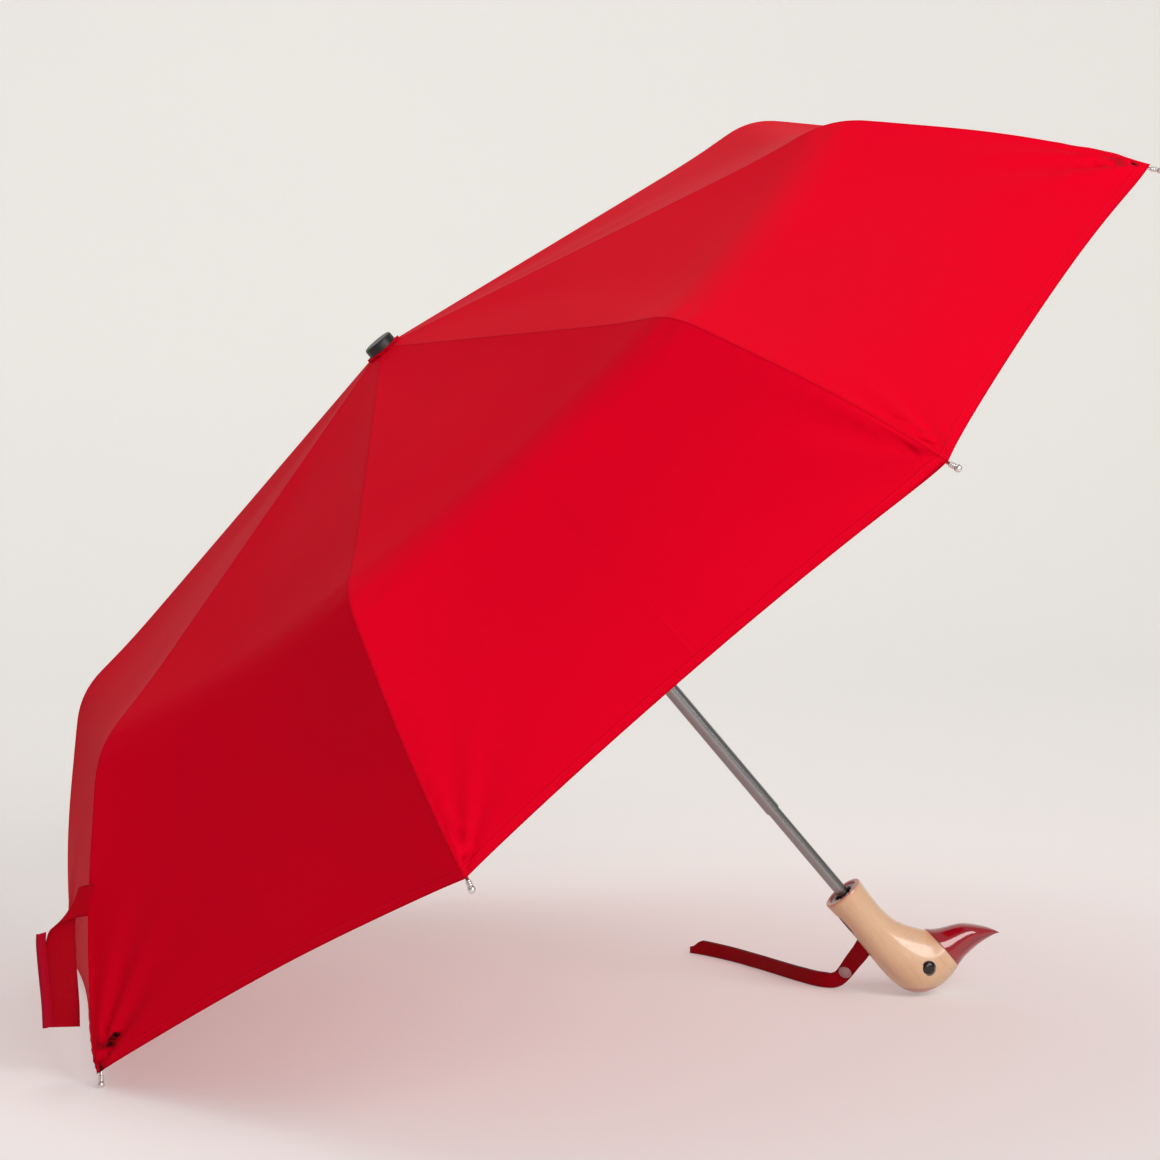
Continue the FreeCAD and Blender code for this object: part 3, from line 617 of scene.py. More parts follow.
def canopy_piece(rib, start, end, rows, sizes):
    """The cloth around one rib, from half-way across one panel to half-way across the next, between two
    runs. Columns lie close together over the rib and spread evenly beside it; the last row is the hem,
    which curves in as a parabola between corners."""
    near = np.array([0.0, 0.0009, 0.0016, 0.0023, 0.0045])
    spread = np.linspace(0, 1, 30)[1:]
    last = rib_length(sizes)
    along = np.linspace(0, 1, rows)[:, None]
    nominal = start + along * (end - start)
    half = rib_line(nominal[:, 0], sizes)[0][:, None] * np.tan(STEP / 2)
    close = near * np.minimum(1.0, half / 0.030)
    beside = np.concatenate([close * np.ones_like(half), close[:, -1:] + (half - close[:, -1:]) * spread], 1)
    share = beside / (2 * half)
    share = np.concatenate([-share[:, :0:-1], share], 1)
    hem = last - sizes.hem_dip * 4 * np.abs(share) * (1 - np.abs(share))
    stop = hem if end >= last - 1e-9 else end
    run = start + along * (stop - start) * np.ones_like(share)
    turn = rib + share
    points, across = canopy_points(turn, run, sizes)
    small = 1e-4
    ahead, _ = canopy_points(turn, run + small, sizes)
    back, _ = canopy_points(turn, run - small, sizes)
    side = np.where(share >= 0, 1.0, -1.0) * 1e-3
    inward = np.where(np.abs(share) > 0.499, -side, side)
    beside_it, _ = canopy_points(turn + inward, run, sizes)
    normals = np.cross(ahead - back, (beside_it - points) * np.sign(inward)[..., None])
    normals /= np.linalg.norm(normals, axis=-1, keepdims=True)
    normals *= np.where(normals[..., 2:] < 0, -1.0, 1.0)
    mirrored = normals[:, ::-1]
    angle = (rib + 0.5) * STEP
    tangent = np.array([-np.sin(angle), np.cos(angle), 0.0])
    flipped = mirrored - 2 * (mirrored @ tangent)[..., None] * tangent
    weight = np.exp(-((across / 0.0016) ** 2))[..., None] * 0.5
    normals = normals * (1 - weight) + flipped * weight
    normals /= np.linalg.norm(normals, axis=-1, keepdims=True)
    return points, normals, across, run, hem - run


class UMBRELLA_OT_canopy(Operator):
    """Makes the canopy: for each rib an inner, a middle and an outer piece of cloth, edge to edge."""

    bl_idname = "umbrella.canopy"
    bl_label = "Canopy"

    def execute(self, context):
        sizes = context.scene.umbrella_canopy
        cloth = canopy_cloth(context.scene.umbrella_colours, sizes)
        hinge = np.array(JOINTS["mid_rib_1_hinge"]["pos_m"], float) - PEAK
        first = float(np.hypot(np.linalg.norm(np.cross(hinge, DOWN)), hinge @ DOWN))
        bend = float(np.hypot(sizes.bend_radius, sizes.bend_depth))
        spans = [
            ("inner", "top_rib", 0.0066, first, 26),
            ("middle", "mid_rib", first, bend, 30),
            ("outer", "end_rib", bend, rib_length(sizes), 64),
        ]
        for index in range(RIBS):
            for label, rib, start, end, rows in spans:
                points, normals, beside, run, hem = canopy_piece(index, start, end, rows, sizes)
                uv = np.stack([0.5 + beside, run], -1)
                name = f"cloth_{label}_{index + 1}"
                piece = closed_sheet(name, on_floor(points), normals @ AXES, sizes.thickness, cloth, uv)
                layer = piece.data.attributes.new("hem", "FLOAT", "POINT")
                layer.data.foreach_set("value", np.tile(hem.ravel(), 2).astype(np.float32))
                body = f"{rib}_{index + 1}"
                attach(piece, body)
                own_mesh(piece)
                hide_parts(f"canopy_panel_{index + 1}")
                area = sheet_area(points)
                width = float(beside.max() - beside.min())
                deep = max(float(run.max() - run.min()), area / width * 1.0005)
        return {"FINISHED"}


# Outer ribs


def turned_rings(path, radii, sides=20):
    """Rings round a path that lies in a rib's plane: at each point the radius times the cosine along the
    plane's normal to the path and the sine across the plane."""
    forward = np.gradient(path, axis=0)
    forward /= np.linalg.norm(forward, axis=1, keepdims=True)
    up = np.stack([-forward[:, 1], forward[:, 0]], -1)
    angle = np.linspace(0, 2 * np.pi, sides, endpoint=False)
    ring = path[:, None, :] + radii[:, None, None] * np.cos(angle)[None, :, None] * up[:, None, :]
    return np.concatenate([ring, (radii[:, None] * np.sin(angle))[..., None]], -1)


class UMBRELLA_OT_outer_ribs(Operator):
    """Makes the eight bowed outer ribs of wire, each with its eye, collar, coiled neck and round tip."""

    bl_idname = "umbrella.outer_ribs"
    bl_label = "Outer ribs"

    def execute(self, context):
        sizes = context.scene.umbrella_canopy
        wire = drawn_steel("plated_wire", (0.80, 0.76, 0.74), 0.30)
        for index in range(RIBS):
            angle = (index + 0.5) * STEP
            hinge = (np.array(JOINTS[f"end_rib_{index + 1}_hinge"]["pos_m"], float) - PEAK) @ AXES.T
            start = np.array([np.hypot(hinge[0], hinge[1]), hinge[2]])
            slope = np.arctan2(sizes.corner_depth - sizes.bend_depth, sizes.corner_radius - sizes.bend_radius)
            way = np.array([np.cos(slope), -np.sin(slope)])
            out = np.array([np.sin(slope), np.cos(slope)])
            total = WIRE_LENGTH + 0.009
            stations = [(-0.0015, 0.0), (-0.0014, 0.6), (-0.0008, 1.25)]
            stations += [(0.0, 1.5), (0.0008, 1.25), (0.0016, 1.1)]
            run = np.concatenate([[s for s, _ in stations], np.linspace(0.004, WIRE_LENGTH + 0.0005, 40)])
            radius = np.concatenate([[r for _, r in stations], np.full(40, 1.1)])
            tip = [
                (0.0008, 1.15), (0.0009, 1.75), (0.0012, 1.9), (0.0016, 1.75), (0.0019, 1.5),
                (0.0022, 1.75), (0.0026, 1.9), (0.0030, 1.75), (0.0033, 1.5), (0.0036, 1.75),
                (0.0040, 1.9), (0.0044, 1.7), (0.0047, 1.1), (0.0050, 1.1),
            ]
            run = np.concatenate([run, WIRE_LENGTH + np.array([s for s, _ in tip])])
            radius = np.concatenate([radius, [r for _, r in tip]])
            ball = np.linspace(np.pi - 0.45, 0.0, 12)
            run = np.concatenate([run, total - 0.0024 + 0.0024 * np.cos(ball)])
            radius = np.concatenate([radius, 2.4 * np.sin(ball)]) * MM
            share = np.clip(run / WIRE_LENGTH, 0, 1)
            bow = 4 * (sizes.bow - 0.001) * share * (1 - share)
            path = start + run[:, None] * way + bow[:, None] * out
            rings = turned_rings(path, radius)
            local = np.stack(
                [
                    rings[..., 0] * np.cos(angle) - rings[..., 2] * np.sin(angle),
                    rings[..., 0] * np.sin(angle) + rings[..., 2] * np.cos(angle),
                    rings[..., 1],
                ],
                -1,
            )
            piece = closed_rings(f"outer_rib_{index + 1}", on_floor(local), wire)
            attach(piece, f"end_rib_{index + 1}")
            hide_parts(f"end_rib_{index + 1}")
        return {"FINISHED"}


# Handle


HEAD_SECTIONS = [
    # left x, left depth, right x, right depth, half width; depths below the rim, all in millimetres
    (-14.45, 1.6, 14.45, 1.6, 14.45),
    (-14.0, 8.0, 13.95, 9.0, 13.9),
    (-13.5, 17.0, 13.5, 18.5, 13.5),
    (-13.3, 28.0, 13.5, 28.5, 13.4),
    (-13.6, 40.0, 15.0, 38.5, 13.8),
    (-13.9, 52.0, 17.9, 45.8, 14.5),
    (-13.9, 63.5, 21.0, 51.2, 15.5),
    (-12.9, 74.0, 23.4, 54.8, 16.5),
    (-10.4, 83.0, 25.0, 57.2, 17.2),
    (-5.6, 90.0, 26.1, 58.8, 17.4),
    (1.6, 94.6, 26.9, 59.6, 17.3),
    (11.0, 97.1, 27.4, 59.9, 16.9),
    (20.0, 96.8, 27.8, 60.0, 16.3),
    (28.0, 95.0, 28.0, 60.0, 15.6),
]

BEAK_SECTIONS = [
    # top x, top depth, bottom x, bottom depth, half width; depths below the rim, all in millimetres
    (28.0, 60.1, 28.0, 94.9, 15.55),
    (31.2, 62.9, 31.5, 94.1, 14.7),
    (35.0, 65.7, 35.8, 93.2, 13.6),
    (39.8, 68.4, 40.6, 92.9, 12.5),
    (44.9, 71.0, 45.4, 92.9, 11.4),
    (49.8, 74.1, 49.9, 93.2, 10.3),
    (54.4, 78.6, 54.3, 93.8, 8.9),
    (58.4, 83.4, 58.3, 94.6, 7.0),
    (61.8, 88.2, 61.6, 95.4, 4.9),
    (64.2, 92.6, 64.0, 96.3, 2.6),
    (65.4, 95.8, 65.2, 97.0, 0.9),
]


def oval_rings(sections, rim_depth, count, sides, narrow=0.0):
    """Rings between two outlines: each has its centre midway between a left and a right point, the half
    distance between them times the cosine one way, and the half width times the sine across. The width
    tapers towards the right outline by the share in narrow."""
    rows = smooth_rows(np.array(sections) * MM, count)
    left = np.stack([rows[:, 0], np.zeros(count), -rim_depth - rows[:, 1]], -1)
    right = np.stack([rows[:, 2], np.zeros(count), -rim_depth - rows[:, 3]], -1)
    angle = np.linspace(0, 2 * np.pi, sides, endpoint=False)
    taper = narrow * ease(np.linspace(-0.1, 1.5, count))[:, None] * np.cos(angle)
    across = rows[:, 4:5] * np.sin(angle) * (1 - taper)
    rings = (left + right)[:, None] / 2 + ((right - left)[:, None] / 2) * np.cos(angle)[None, :, None]
    rings[..., 1] += across
    return rings


def level_ring(radius, depth, sides):
    angle = np.linspace(0, 2 * np.pi, sides, endpoint=False)
    return np.stack([radius * np.cos(angle), radius * np.sin(angle), np.full(sides, -depth)], -1)


def cut_away(piece, cutter):
    """Takes one closed piece out of another and keeps the result as the first piece's own mesh."""
    modifier = piece.modifiers.new("cut", "BOOLEAN")
    modifier.operation = "DIFFERENCE"
    modifier.solver = "EXACT"
    modifier.object = cutter
    bpy.context.view_layer.update()
    made = bpy.data.meshes.new_from_object(piece.evaluated_get(bpy.context.evaluated_depsgraph_get()))
    piece.modifiers.clear()
    old = piece.data
    made.name = old.name
    piece.data = made
    bpy.data.meshes.remove(old)
    bpy.data.objects.remove(cutter)
    edges = bmesh.new()
    edges.from_mesh(made)
    for edge in edges.edges:
        edge.smooth = not edge.is_manifold or edge.calc_face_angle(0.0) < 0.6
    edges.to_mesh(made)
    edges.free()


def stadium_rings(long, wide, near, far, depth, sides=48, dish=0.0, edge=0.0):
    """A round-ended block across the neck on the -X side: two half circles joined by straight sides, at
    distances from the axis between near and far; the far face is dished and its edge rounded off."""
    angle = np.linspace(0, 2 * np.pi, sides, endpoint=False)
    straight = (long - wide) / 2
    shift = straight * np.tanh(np.sin(angle) * 6)

    def ring(share, distance, sink):
        side = share * wide / 2 * np.cos(angle)
        up = share * wide / 2 * np.sin(angle) + shift * share
        return np.stack([np.full(sides, -(distance - sink)), side, up - depth], -1)

    rows = [ring(0.0, near, 0.0), ring(1.0, near, 0.0), ring(1.0, far - edge, 0.0)]
    rows.append(ring(1.0 - 0.35 * edge / wide * 2, far - 0.3 * edge, 0.0))
    rows.append(ring(1.0 - 1.2 * edge / wide * 2, far, 0.0))
    rows += [ring(share, far, dish * (1 - share**2)) for share in (0.8, 0.6, 0.4, 0.2, 0.0)]
    return np.stack(rows)


class UMBRELLA_OT_handle(Operator):
    """Makes the wooden neck and head, the beak, the eyes and the button's dished face."""

    bl_idname = "umbrella.handle"
    bl_label = "Handle"

    def execute(self, context):
        sizes = context.scene.umbrella_handle
        colours = context.scene.umbrella_colours
        wood = lacquered_wood(tuple(colours.wood))
        lacquer = beak_lacquer(tuple(colours.beak))
        sides = 96
        rim = sizes.rim_depth
        floor = rim + sizes.socket_length
        bore = sizes.socket_radius
        mouth = [(1e-9, floor), (bore, floor), (bore, rim + 0.0010)]
        mouth += [(bore + 0.0003, rim + 0.0003), (bore + 0.0008, rim)]
        mouth += [(0.0135, rim), (0.01412, rim + 0.00022), (0.01438, rim + 0.0008)]
        inside = np.stack([level_ring(radius, depth, sides) for radius, depth in mouth])
        outside = oval_rings(HEAD_SECTIONS, rim, 110, sides, narrow=0.16)
        centre = outside[-1].mean(0)
        end = np.stack([centre + (outside[-1] - centre) * share for share in (0.97, 0.5, 1e-6)])
        rings = np.concatenate([inside, outside, end])
        head = closed_rings("duck_head", on_floor(rings), wood)
        pocket = stadium_rings(0.0194, 0.0098, 0.0049, 0.030, rim + BUTTON_DEPTH)
        cut_away(head, closed_rings("pocket_cutter", on_floor(pocket), wood))
        count = len(head.data.vertices)
        places = np.zeros(count * 3)
        head.data.vertices.foreach_get("co", places)
        local = (places.reshape(-1, 3) - PEAK) @ AXES.T
        depth = -local[:, 2] - rim
        around = np.hypot(local[:, 0], local[:, 1])
        stain = np.clip(1 - depth / 0.0022, 0, 1) * (depth > -0.001) * 0.75 + (around < 0.0125) * 0.8
        layer = head.data.attributes.new("rim", "FLOAT", "POINT")
        layer.data.foreach_set("value", np.clip(stain, 0, 1).astype(np.float32))
        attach(head, "handle")
        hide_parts("handle_body")

        body = oval_rings(BEAK_SECTIONS, rim, 72, sides, narrow=0.16)
        share = np.linspace(0, 1, 72)[:, None]
        angle = np.linspace(0, 2 * np.pi, sides, endpoint=False)[None, :]
        # A ring meets its upper outline at angle pi and its lower one at 0.
        height = np.cos(angle) * np.ones_like(share)
        line = np.exp(-(((height - (0.50 - 0.22 * share)) / 0.045) ** 2)) * ease((share - 0.10) / 0.2)
        middle = body.mean(1, keepdims=True)
        body = middle + (body - middle) * (1 - 0.030 * line[..., None])
        start = body[0].mean(0)
        last = body[-1].mean(0)
        back = np.stack([start + (body[0] - start) * part for part in (1e-6, 0.5, 0.97)])
        shift = np.array([0.00008, 0.0, 0.0])
        nose = np.array([65.75 * MM, 0.0, -rim - 97.2 * MM])
        near_nose = last + (body[-1] - last) * 0.6 + (nose - last) * 0.6
        front = np.stack([near_nose, nose + (body[-1] - last) * 1e-6])
        rings = np.concatenate([back, body, front]) + shift
        beak = closed_rings("beak_bill", on_floor(rings), lacquer)
        # Painted shade for the mouth's groove, on the same band that is pressed in above; the tip's darker colour
        # is its own.
        mouth_groove_shade = np.concatenate([np.zeros((3, sides)), line, np.zeros((2, sides))])
        dark_tip = ease((share - 0.86) / 0.14) * np.ones((1, sides))
        tip_mark = np.concatenate([np.zeros((3, sides)), dark_tip, np.ones((2, sides))])
        flat = on_floor(rings).reshape(-1, 3)
        places = np.zeros(len(beak.data.vertices) * 3)
        beak.data.vertices.foreach_get("co", places)
        places = places.reshape(-1, 3)
        nearest = ((places[:, None, :] - flat[None, :, :]) ** 2).sum(-1).argmin(1)
        for label, mark in (("mouth", mouth_groove_shade), ("tip", tip_mark)):
            layer = beak.data.attributes.new(label, "FLOAT", "POINT")
            layer.data.foreach_set("value", mark.ravel()[nearest].astype(np.float32))
        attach(beak, "handle")
        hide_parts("beak")

        black = moulded("eye_gloss", (0.006, 0.003, 0.003), 0.22, coat=0.35, grain=0.05)
        radius = sizes.eye_radius
        for label, side in (("near", -1), ("far", 1)):
            profile = [(1e-9, 2.5), (0.35, 2.48), (0.62, 2.2), (0.80, 1.7), (0.88, 1.05), (0.90, 0.9)]
            profile += [(0.94, 0.98), (1.02, 0.95), (1.08, 0.6), (1.08, 0.0), (1.0, -4.0), (1e-9, -4.0)]
            angle = np.linspace(0, 2 * np.pi, 40, endpoint=False)
            smooth = smooth_rows(np.array([(share * radius, out * MM) for share, out in profile]), 60)
            smooth[0, 0] = smooth[-1, 0] = 1e-9
            rings = np.stack(
                [
                    0.0108 + smooth[:, :1] * np.cos(angle),
                    side * (0.0164 + smooth[:, 1:2]) * np.ones_like(angle),
                    -(rim + EYE_DEPTH) + smooth[:, :1] * np.sin(angle),
                ],
                -1,
            )
            eye = closed_rings(f"eye_{label}", on_floor(rings), black)
            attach(eye, "handle")
            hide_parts("eyes")

        maroon = moulded("button_gloss", (0.050, 0.008, 0.012), 0.22, coat=0.6)
        rings = stadium_rings(0.019, 0.0094, 0.0086, 0.0132, rim + BUTTON_DEPTH, dish=0.0016, edge=0.0007)
        button = closed_rings("button_cap", on_floor(rings), maroon)
        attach(button, "button")
        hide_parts("push_button")
        return {"FINISHED"}


# Straps


def ribbon_points(line, across, width):
    """A ribbon's middle face: each point of the line plus the across direction times a share of the width."""
    share = np.linspace(-0.5, 0.5, 13)
    unit = across / np.linalg.norm(across, axis=1, keepdims=True)
    reach = share[None, :, None] * np.reshape(width, (-1, 1, 1))
    points = line[:, None, :] + unit[:, None, :] * reach
    run = np.concatenate([[0.0], np.cumsum(np.linalg.norm(np.diff(line, axis=0), axis=1))])
    uv = np.stack(np.broadcast_arrays(0.5 + share[None, :], run[:, None] % 0.98), -1)
    return points, uv, float(run[-1])


def ribbon(name, line, across, width, thickness, material):
    points, uv, long = ribbon_points(line, across, width)
    piece = closed_sheet(name, points, surface_normals(points), thickness, material, uv)
    wide = float(np.max(width))
    area = sheet_area(points)
    return piece, (wide, max(long, area / wide)), area


WRIST_ROUTE = [
    # x, y, z of the ribbon's middle, and x, y, z of the way across it, in millimetres past the hanging point
    (4.0, 3.0, 1.0, 0.82, -0.20, -0.54),
    (1.5, 9.0, -6.5, 0.82, -0.20, -0.54),
    (-2.0, 19.0, -16.0, 0.82, -0.19, -0.54),
    (-5.5, 27.5, -25.0, 0.74, -0.15, -0.65),
    (-9.5, 31.0, -30.0, 0.45, -0.10, -0.89),
    (-16.0, 31.5, -31.3, 0.10, 0.0, -0.99),
    (-23.0, 38.0, -31.4, -0.06, 0.10, -0.99),
    (-31.0, 56.0, -31.5, -0.10, 0.22, -0.97),
    (-42.0, 82.0, -31.6, -0.14, 0.30, -0.94),
    (-54.0, 108.0, -31.6, -0.12, 0.30, -0.95),
    (-66.0, 134.0, -31.6, -0.10, 0.24, -0.97),
    (-79.0, 155.0, -31.6, -0.05, 0.15, -0.99),
    (-89.0, 165.0, -31.6, 0.0, 0.05, -1.0),
]


class UMBRELLA_OT_wrist_strap(Operator):
    """Makes the wrist strap's two plies, which drop from the neck and lie on their edge, the back ply darkened as
    painted shade, and its stud.
    """

    bl_idname = "umbrella.wrist_strap"
    bl_label = "Wrist strap"

    def execute(self, context):
        sizes = context.scene.umbrella_straps
        tint = tuple(context.scene.umbrella_colours.ribbon)
        cloth = ribbon_cloth("wrist_ribbon", tint)
        # Painted shade: the back ply is the same ribbon darkened to 0.45 of its colour.
        inner = ribbon_cloth("wrist_ribbon_back", tuple(c * 0.45 for c in tint))
        rim = context.scene.umbrella_handle.rim_depth
        hang = on_floor([-0.0133, 0.0, -(rim + STRAP_DEPTH)])
        rows = smooth_rows(np.array(WRIST_ROUTE), 110)
        line = hang + rows[:, :3] * MM
        wide = sizes.wrist_width * (1.0 + 0.22 * ease(1 - np.linspace(0, 1, 110) / 0.35))
        wide = wide * (1 - 0.55 * ease((np.linspace(0, 1, 110) - 0.93) / 0.07))
        across = rows[:, 3:] / np.linalg.norm(rows[:, 3:], axis=1, keepdims=True)
        floor_room = line[:, 2] - np.abs(across[:, 2]) * wide / 2 - 0.0007
        line[:, 2] -= np.minimum(floor_room, 0.0)
        settle = ease((np.linspace(0, 1, 110) - 0.36) / 0.10)
        line[:, 2] -= np.maximum(line[:, 2] - np.abs(across[:, 2]) * wide / 2 - 0.0007, 0.0) * settle
        forward = np.gradient(line, axis=0)
        side = np.cross(forward, across)
        side /= np.linalg.norm(side, axis=1, keepdims=True)
        share = np.linspace(0, 1, 110)[:, None]
        apart = 0.0011 * np.sqrt(np.maximum(np.sin(np.pi * share), 0.0)) + 0.0002
        wave = 0.0005 * np.sin(share * 23.0)
        for label, part, material in (("front", 1.0, cloth), ("back", -1.0, inner)):
            shifted = line + side * (part * (apart * 0.5 + 0.0004) + wave)
            name = f"wrist_ribbon_{label}"
            piece, flat, area = ribbon(name, shifted, across, wide, sizes.ribbon_thickness, material)
            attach(piece, "handle")
            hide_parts("wrist_strap")
        metal = moulded("press_stud_enamel", (0.50, 0.30, 0.29), 0.28, coat=0.4)
        spot = 26
        normal = side[spot] * (-1.0 if side[spot][1] > 0 else 1.0)
        profile = [(0.0, 1.5), (1.6, 1.45), (2.6, 1.1), (3.1, 0.75), (3.5, 1.0), (4.1, 1.0)]
        profile += [(4.5, 0.6), (4.5, -0.4), (0.0, -0.4)]
        profile = smooth_rows(np.array(profile) * MM, 48)
        profile[0, 0] = profile[-1, 0] = 1e-9
        angle = np.linspace(0, 2 * np.pi, 40, endpoint=False)
        other = np.cross(normal, across[spot])
        rings = (
            line[spot]
            + normal * (0.0016 + profile[:, None, 1:2])
            + across[spot] * profile[:, None, 0:1] * np.cos(angle)[None, :, None]
            + other * profile[:, None, 0:1] * np.sin(angle)[None, :, None]
        )
        stud = closed_rings("press_stud", rings, metal)
        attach(stud, "handle")
        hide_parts("strap_snap")
        return {"FINISHED"}


TIE_ROUTE = [
    # x, y, z of the strap's middle from the seam, and x, y, z of the way across it, in millimetres
    (3.0, -1.2, 0.5, 0.10, 0.05, 1.00),
    (-3.0, -2.6, 0.0, 0.10, 0.05, 1.00),
    (-8.5, -3.0, -1.5, 0.22, 0.10, 0.95),
    (-13.0, -2.2, -6.0, 0.58, 0.30, 0.78),
    (-16.5, -1.0, -14.0, 0.86, 0.38, 0.40),
    (-18.0, -0.2, -24.0, 0.96, 0.28, 0.20),
    (-17.8, 0.0, -36.0, 0.99, 0.10, 0.10),
    (-17.0, -0.2, -50.0, 1.00, 0.02, 0.06),
    (-16.0, -0.5, -66.0, 1.00, -0.02, 0.03),
    (-15.8, -0.8, -81.0, 1.00, -0.04, 0.00),
]


class UMBRELLA_OT_tie_strap(Operator):
    """Makes the tie strap: sewn at its top, turned down, hanging flat, with its far edge curled back."""

    bl_idname = "umbrella.tie_strap"
    bl_label = "Tie strap"

    def execute(self, context):
        sizes = context.scene.umbrella_straps
        canopy = context.scene.umbrella_canopy
        colours = context.scene.umbrella_colours
        # Painted shade: the tie strap is the canopy's cloth darkened to 0.62 of its colour.
        cloth = ribbon_cloth("tie_ribbon_shaded", tuple(c * 0.62 for c in colours.cloth))
        pale = ribbon_cloth("tie_ribbon_curl", (0.52, 0.003, 0.024))
        bend = np.hypot(canopy.bend_radius, canopy.bend_depth)
        run = bend + 0.47 * (rib_length(canopy) - bend)
        seam = on_floor(canopy_points(np.array([4.0]), np.array([run]), canopy)[0][0])
        rows = smooth_rows(np.array(TIE_ROUTE), 90)
        line = seam + rows[:, :3] * MM
        share = np.linspace(0, 1, 90)
        wide = sizes.tie_width * (1 - 0.05 * ease(share))
        piece, flat, area = ribbon("tie_ribbon_fall", line, rows[:, 3:], wide, sizes.ribbon_thickness, cloth)
        curl_rows = rows[46:]
        left = seam + curl_rows[:, :3] * MM - np.array([0.5, 0.0, 0.0]) * sizes.tie_width
        turn = np.linspace(0, 1, 13)
        forward = -0.0022 * np.sin(np.pi * turn) - 0.0022
        bulge = np.stack([-0.0046 + 0.0050 * turn**2, forward, np.zeros(13)], -1)
        lean = np.linspace(0, 1, 44)[:, None, None] * np.array([0.0012, 0.0, 0.0])
        points = left[:, None, :] + bulge[None, :, :] + lean
        points[..., 2] += 0.0012 * turn
        long = float(np.linalg.norm(np.diff(points[:, 6], axis=0), axis=1).sum())
        uv = np.stack(np.broadcast_arrays(0.3 + 0.4 * turn[None, :], np.linspace(0, long, 44)[:, None]), -1)
        normals = surface_normals(points)
        curl = closed_sheet("tie_ribbon_curl", points, normals, sizes.ribbon_thickness, pale, uv)
        curl_area = sheet_area(points)
        curl_flat = (max(0.0101, curl_area / long * 1.001), long)
        for made, cut, size in ((piece, flat, area), (curl, curl_flat, curl_area)):
            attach(made, "end_rib_5")
            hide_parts("tie_strap")
            min(size, cut[0] * cut[1])
        return {"FINISHED"}


# Cap, rosette and the metal and plastic of the frame


class UMBRELLA_OT_rosette(Operator):
    """Makes the ruffled rosette of cloth under the cap."""

    bl_idname = "umbrella.rosette"
    bl_label = "Rosette"

    def execute(self, context):
        canopy = context.scene.umbrella_canopy
        cloth = canopy_cloth(context.scene.umbrella_colours, canopy)
        angle = np.linspace(0, 2 * np.pi, 145)[None, :]
        share = np.linspace(0, 1, 20)[:, None]
        radius = 0.0064 + 0.0068 * share + 0.0004 * share * np.sin(angle * 16)
        fall = radius * canopy.bend_depth / canopy.bend_radius
        height = 0.0011 - fall + 0.00045 * share**2 * (np.sin(angle * 11) + 0.6 * np.sin(angle * 17 + 1))
        points = np.stack(np.broadcast_arrays(radius * np.cos(angle), radius * np.sin(angle), height), -1)
        normals = surface_normals(points)
        normals *= np.where(normals[..., 2:] < 0, -1.0, 1.0)
        uv = np.stack(np.broadcast_arrays(0.5 + 0.004 + angle * 0.01, radius), -1)
        piece = closed_sheet("rosette_cloth", on_floor(points), normals @ AXES, canopy.thickness, cloth, uv)
        layer = piece.data.attributes.new("hem", "FLOAT", "POINT")
        layer.data.foreach_set("value", np.full(len(piece.data.vertices), 0.05, np.float32))
        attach(piece, "upper_shaft")
        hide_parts("rosette")
        area = sheet_area(points)
        side = 0.0265
        area = min(area, side**2)
        return {"FINISHED"}


class UMBRELLA_OT_frame_finishes(Operator):
    """Gives the shaft, crown, runner, ribs, stretchers, cap and socket their steel and plastic finishes."""

    bl_idname = "umbrella.frame_finishes"
    bl_label = "Frame finishes"

    def execute(self, context):
        lean = float(np.arctan2(-DOWN[0], -DOWN[2]))
        shaft = drawn_steel("shaft_steel", (0.34, 0.33, 0.33), 0.24, along=-lean)
        rib = drawn_steel("rib_steel", (0.66, 0.65, 0.66), 0.34)
        black = moulded("black_plastic", (0.006, 0.006, 0.007), 0.42)
        ring = drawn_steel("socket_ring_metal", (0.40, 0.38, 0.39), 0.36)
        wire = drawn_steel("hinge_wire", (0.60, 0.59, 0.60), 0.3)
        for node in ("lower_tube", "middle_tube", "upper_tube"):
            paint(node, shaft)
        for node in ("cap", "crown", "runner", "socket_insert"):
            paint(node, black)
        for node in ("crown_wire", "runner_wire", "button_spring"):
            paint(node, wire)
        paint("socket_ring", ring)
        for index in range(1, RIBS + 1):
            for name in ("top_rib", "mid_rib", "stretcher"):
                paint(f"{name}_{index}", rib)
        return {"FINISHED"}


# Stage


def studio_paper(colours):
    """Matt paper, the floor's colour low down and the backdrop's above, seen as bright as it is coloured."""
    finish = Finish("studio_paper", roughness=0.75)
    _, y, z, vector = finish.place()
    low = (y * 0.35 + z).below(0.35, 1.0)
    tone = finish.mix(low, tuple(colours.backdrop), tuple(colours.floor))
    mottle = finish.noise(vector, 3.0, 2.0)
    tone = finish.mix(mottle * 0.10, tone, tuple(c * 0.94 for c in colours.floor))
    camera = finish.node("ShaderNodeLightPath", output="Is Camera Ray")
    gloss = finish.node("ShaderNodeLightPath", output="Is Glossy Ray")
    finish.feed("Base Color", tone)
    finish.feed("Emission Color", tone)
    finish.feed("Emission Strength", (camera + gloss) * 0.35)
    return finish.material


def area_lamp(name, place, size, power, tint):
    """A rectangular lamp that faces the middle of the umbrella."""
    data = bpy.data.lights.new(name, "AREA")
    data.shape = "RECTANGLE"
    data.size, data.size_y = size
    data.energy = power
    data.color = tint
    made = bpy.data.objects.new(name, data)
    made.location = place
    made.rotation_euler = (Vector((0.0, 0.0, 0.3)) - Vector(place)).to_track_quat("-Z", "Y").to_euler()
    bpy.context.scene.collection.objects.link(made)


